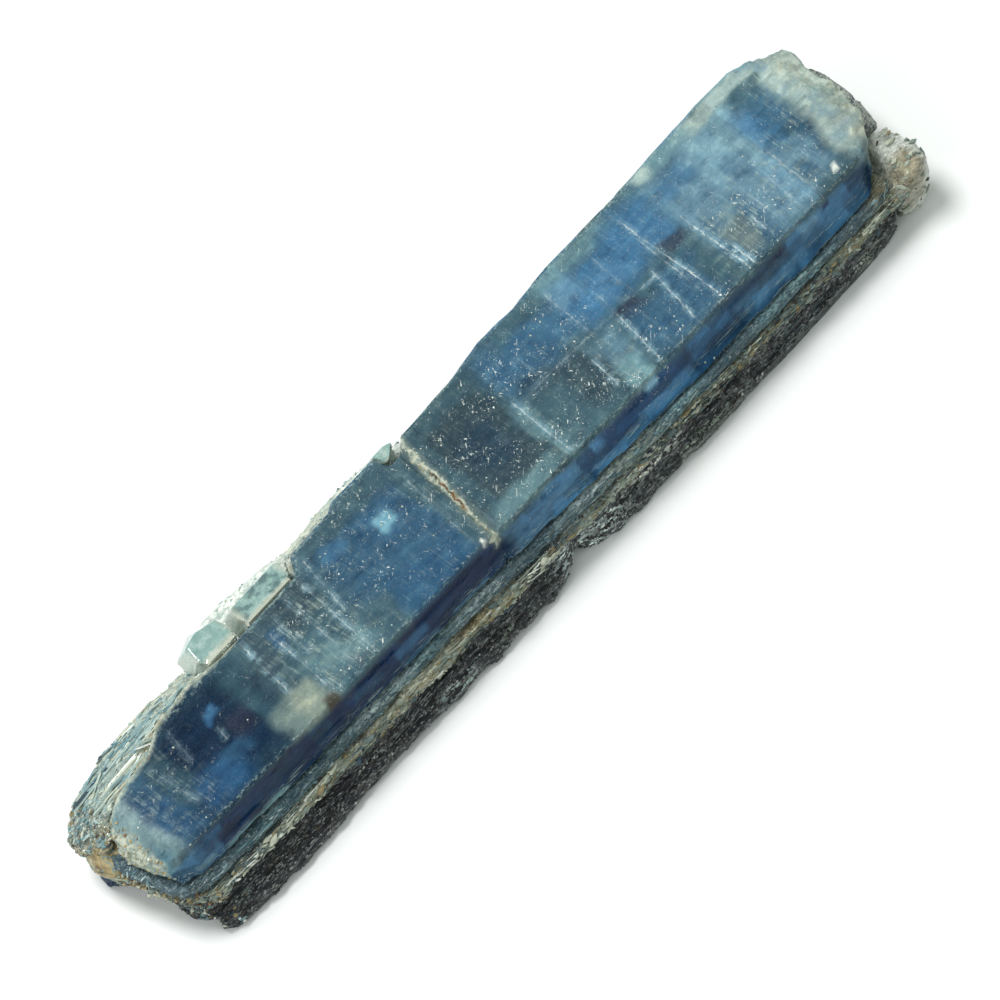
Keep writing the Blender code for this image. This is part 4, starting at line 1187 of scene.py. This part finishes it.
def plates(centres, normals, rng, tilt, radius, thickness):
    """The points and faces of small six-sided plates that lie on a surface."""
    count = len(centres)
    along, across, out = frames_on(normals, tilt, 1.0, rng)
    angles = np.linspace(0, 2 * np.pi, 7)[:-1] + rng.uniform(-0.35, 0.35, (count, 6))
    reach = rng.uniform(*radius, (count, 1)) * rng.uniform(0.7, 1.0, (count, 6))
    rim = along[:, None] * (reach * np.cos(angles))[..., None]
    rim += across[:, None] * (reach * np.sin(angles))[..., None]
    rise = out[:, None] * rng.uniform(*thickness, (count, 1, 1))
    middle = centres[:, None] + 0.2 * rise
    shapes = np.concatenate([middle + rim - rise, middle + 0.9 * rim + rise], axis=1)
    sides = [(k, (k + 1) % 6, (k + 1) % 6 + 6, k + 6) for k in range(6)]
    return shapes, [(5, 4, 3, 2, 1, 0), (6, 7, 8, 9, 10, 11), *sides]


def slivers(centres, normals, rng, tilt, turn, length, width):
    """The points and faces of thin blunt slivers that lie along a blade, half sunk in it."""
    count = len(centres)
    along, across, out = frames_on(normals, tilt, turn, rng)
    half = rng.uniform(*length, (count, 1)) / 2
    wide = rng.uniform(*width, (count, 1)) / 2
    thick = wide * rng.uniform(0.4, 0.8, (count, 1))
    rings = []
    for share in (-1, -0.8, 0.8, 1):
        slim = rng.uniform(0.3, 0.7, (count, 1)) if abs(share) == 1 else 1.0
        heart = centres + along * half * (share + rng.uniform(-0.1, 0.1, (count, 1)))
        for a, b in ((1, 0), (0, 1), (-1, 0), (0, -1)):
            rings.append(heart + across * (a * wide * slim) + out * (b * thick * slim))
    faces = [(3, 2, 1, 0), (12, 13, 14, 15)]
    for first in (0, 4, 8):
        for k in range(4):
            after = (k + 1) % 4
            faces.append((first + k, first + after, first + after + 4, first + k + 4))
    return np.stack(rings, axis=1), faces


def crumbs(centres, normals, rng, size, stretch):
    """The points and faces of small lumps, half sunk in a surface and drawn out along the blade."""
    count = len(centres)
    along, across, out = frames_on(normals, 0.35, 0.15, rng)
    lump = bmesh.new()
    bmesh.ops.create_icosphere(lump, subdivisions=1, radius=1.0)
    corners = np.array([corner.co for corner in lump.verts])
    faces = [[corner.index for corner in face.verts] for face in lump.faces]
    lump.free()
    small, large = size
    half = small + (large - small) * rng.uniform(0, 1, (count, 1, 1)) ** 2
    shapes = corners * half * rng.uniform(0.6, 1.1, (count, len(corners), 1))
    lengthwise = along[:, None] * shapes[..., :1] * rng.uniform(*stretch, (count, 1, 1))
    sideways = across[:, None] * shapes[..., 1:2] + out[:, None] * shapes[..., 2:]
    return centres[:, None] + lengthwise + sideways, faces


def layer_tints(centres, rng):
    """A shade for each small piece, from dark (0) to light (1), alike along thin lengthwise layers."""
    spread = layered(centres, (3.0, 0.7, 0.45), 71, 4) + rng.normal(0, 0.22, len(centres))
    return np.clip(0.52 + 0.5 * spread, 0, 1)


def scatter(name, node, wanted, count, finish, shape, sizes, rng):
    """One mesh of many small solids of one shape, strewn over the blade that took the CAD node's place."""
    centres, normals = seats(bpy.data.objects[node + "_stone"].data, wanted, count, rng)
    shapes, faces = shape(centres, normals, rng, *sizes)
    corners = shapes.shape[1]
    every_face = [[k * corners + c for c in face] for k in range(count) for face in faces]
    data = bpy.data.meshes.new(name)
    data.from_pydata((inside_box(shapes.reshape(-1, 3)) * MM).tolist(), [], every_face)
    store(data, "tint", np.repeat(layer_tints(centres, rng), corners))
    data.materials.append(bpy.data.materials[finish])
    piece = shown(name, data)
    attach(piece, "root")


def near_lump():
    """The rusty lump that fills the corner between the blades at the near end."""
    lump = bmesh.new()
    bmesh.ops.create_icosphere(lump, subdivisions=6, radius=1.0)
    data = bpy.data.meshes.new("near_lump")
    lump.to_mesh(data)
    lump.free()
    p = points_of(data)
    rough = 1 + 0.25 * layered(p, (0.9, 0.9, 0.9), 81, 5) + 0.06 * mosaic(p[:, 1], p[:, 2], 0.2, 0.15, 82)
    set_points(data, np.array(LUMP_PLACE) + p * rough[:, None] * np.array(LUMP_SIZE))
    store(data, "tint", np.clip(0.5 + 0.5 * layered(p, (0.5, 0.4, 0.4), 83, 5), 0, 1))
    data.shade_smooth()
    data.materials.append(bpy.data.materials["end_crust_stone"])
    piece = shown("near_lump", data)
    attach(piece, "root")


# Where small pieces sit: how likely a point is to hold one, from its place p and its outward direction n.


def mica_side(p, n):
    return (n[:, 1] < -0.2) & (p[:, 2] > 0.15)


def outer_side(p, n):
    return (n[:, 1] < -0.3) & (np.abs(p[:, 0] + 1) < 32)


def outside(p, n):
    return ((n[:, 1] < -0.3) | (n[:, 0] < -0.4)) & (p[:, 0] < 31.5)


def fibrous_top(p, n):
    return (n[:, 2] > 0.5) & (p[:, 2] > 4.5) & (p[:, 0] > -32.8) & (p[:, 0] < -24)


def upper_part(p, n):
    return p[:, 2] > 3.5


def dusty_top(p, n):
    return (n[:, 2] > 0.5) * (0.1 + summed(DUST, p[:, 0], p[:, 1]))


def near_end(p, n):
    return (n[:, 0] < -0.6) & (p[:, 0] < -33.2)


def side_end(p, n):
    return (p[:, 0] < -33.0) & (p[:, 2] > 3.2)


def foot_end(p, n):
    return (n[:, 0] < -0.2) & (p[:, 0] < -31.0) & (p[:, 2] > 0.2)


def far_nub(p, n):
    return (p[:, 0] > 31.6) & (p[:, 1] < -3.0)


def back_rim(p, n):
    return (n[:, 2] > 0.1) & (p[:, 0] > -19)


# Each row: name, the blade it lies on, where, how many, finish, shape, and the sizes of that shape.
SMALL_PIECES = (
    ("mica_flakes", "mica_seam", mica_side, 3200, "mica_flake_stone", plates, FLAKE),
    ("cream_splinters", "cream_blade", outer_side, 500, "splinter_stone", slivers, SPLINTER),
    ("grey_splinters", "grey_blade", outer_side, 300, "slaty_splinter_stone", slivers, SPLINTER),
    ("cream_crumbs", "cream_blade", outside, 2000, "splinter_stone", crumbs, ((0.025, 0.11), (1.6, 5.0))),
    ("grey_crumbs", "grey_blade", outside, 900, "slaty_splinter_stone", crumbs, ((0.025, 0.1), (1.6, 5.0))),
    ("cream_chips", "cream_blade", outside, 130, "splinter_stone", crumbs, ((0.1, 0.28), (1.4, 3.4))),
    ("side_fibres", "side_blade", fibrous_top, 90, "side_fibre_stone", slivers, LONG_FIBRE),
    ("side_crumbs", "side_blade", upper_part, 700, "side_fibre_stone", crumbs, ((0.03, 0.16), (1.0, 3.4))),
    ("surface_chips", "main_blade", dusty_top, 130, "white_chip_stone", plates, WHITE_CHIP),
    ("near_end_crumbs", "main_blade", near_end, 90, "end_crust_stone", crumbs, ((0.04, 0.14), (0.8, 1.6))),
    ("side_end_crumbs", "side_blade", side_end, 420, "side_end_stone", crumbs, ((0.04, 0.17), (0.8, 2.2))),
    ("foot_end_crumbs", "mica_seam", foot_end, 260, "side_end_stone", crumbs, ((0.04, 0.16), (0.8, 2.0))),
    ("cream_end_crumbs", "cream_blade", foot_end, 260, "end_crust_stone", crumbs, ((0.04, 0.16), (0.8, 2.0))),
    ("nub_crumbs", "cream_blade", far_nub, 130, "nub_stone", crumbs, ((0.06, 0.24), (1.0, 3.0))),
    ("back_crumbs", "back_blade", back_rim, 260, "side_fibre_stone", crumbs, ((0.03, 0.14), (1.0, 2.0))),
)


def main():
    main_blade()
    under_blades()
    for name, (shades, roughness, specular) in SMALL_FINISHES.items():
        tinted_stone(name, shades, roughness, specular)
    rng = np.random.default_rng(SMALL_PIECES_SEED)
    for row in SMALL_PIECES:
        scatter(*row, rng)
    near_lump()


# ---- the stage ----


def soft_light(name, place, power, size):
    lamp = bpy.data.lights.new(name, "AREA")
    lamp.shape = "DISK"
    lamp.size = size * MM
    lamp.energy = power
    light = bpy.data.objects.new(name, lamp)
    bpy.context.scene.collection.objects.link(light)
    light.location = Vector(place) * MM
    light.rotation_euler = (-Vector(place)).to_track_quat("-Z", "Y").to_euler()


def stage():
    bpy.ops.mesh.primitive_plane_add(size=FLOOR_SIZE * MM, location=(0, 0, 0))
    floor = bpy.context.active_object
    floor.name = "floor"
    white = bpy.data.materials.new("floor_white")
    white.use_nodes = True
    shader = white.node_tree.nodes["Principled BSDF"]
    shader.inputs["Base Color"].default_value = (*FLOOR_WHITE, 1.0)
    shader.inputs["Roughness"].default_value = 0.9
    shader.inputs["Specular IOR Level"].default_value = 0.1
    floor.data.materials.append(white)
    world = bpy.data.worlds.new("pale_room")
    world.use_nodes = True
    background = world.node_tree.nodes["Background"]
    background.inputs["Color"].default_value = (*ROOM_COLOUR, 1.0)
    background.inputs["Strength"].default_value = ROOM_LIGHT
    bpy.context.scene.world = world
    soft_light("key", *KEY_LIGHT)
    soft_light("fill", *FILL_LIGHT)
    bpy.context.scene.view_settings.view_transform = "Standard"


def camera():
    lens = bpy.data.cameras.new("camera")
    lens.lens = LENS
    lens.sensor_width = SENSOR
    lens.clip_start, lens.clip_end = 0.01, 10.0
    holder = bpy.data.objects.new("camera", lens)
    bpy.context.scene.collection.objects.link(holder)
    azimuth, elevation = math.radians(CAMERA_AZIMUTH), math.radians(CAMERA_ELEVATION)
    flat = math.cos(elevation)
    back = Vector((math.sin(azimuth) * flat, -math.cos(azimuth) * flat, math.sin(elevation)))
    holder.location = (TARGET + back * CAMERA_DISTANCE) * MM
    holder.rotation_euler = (-back).to_track_quat("-Z", "Y").to_euler()
    bpy.context.scene.camera = holder


camera()
stage()
main()
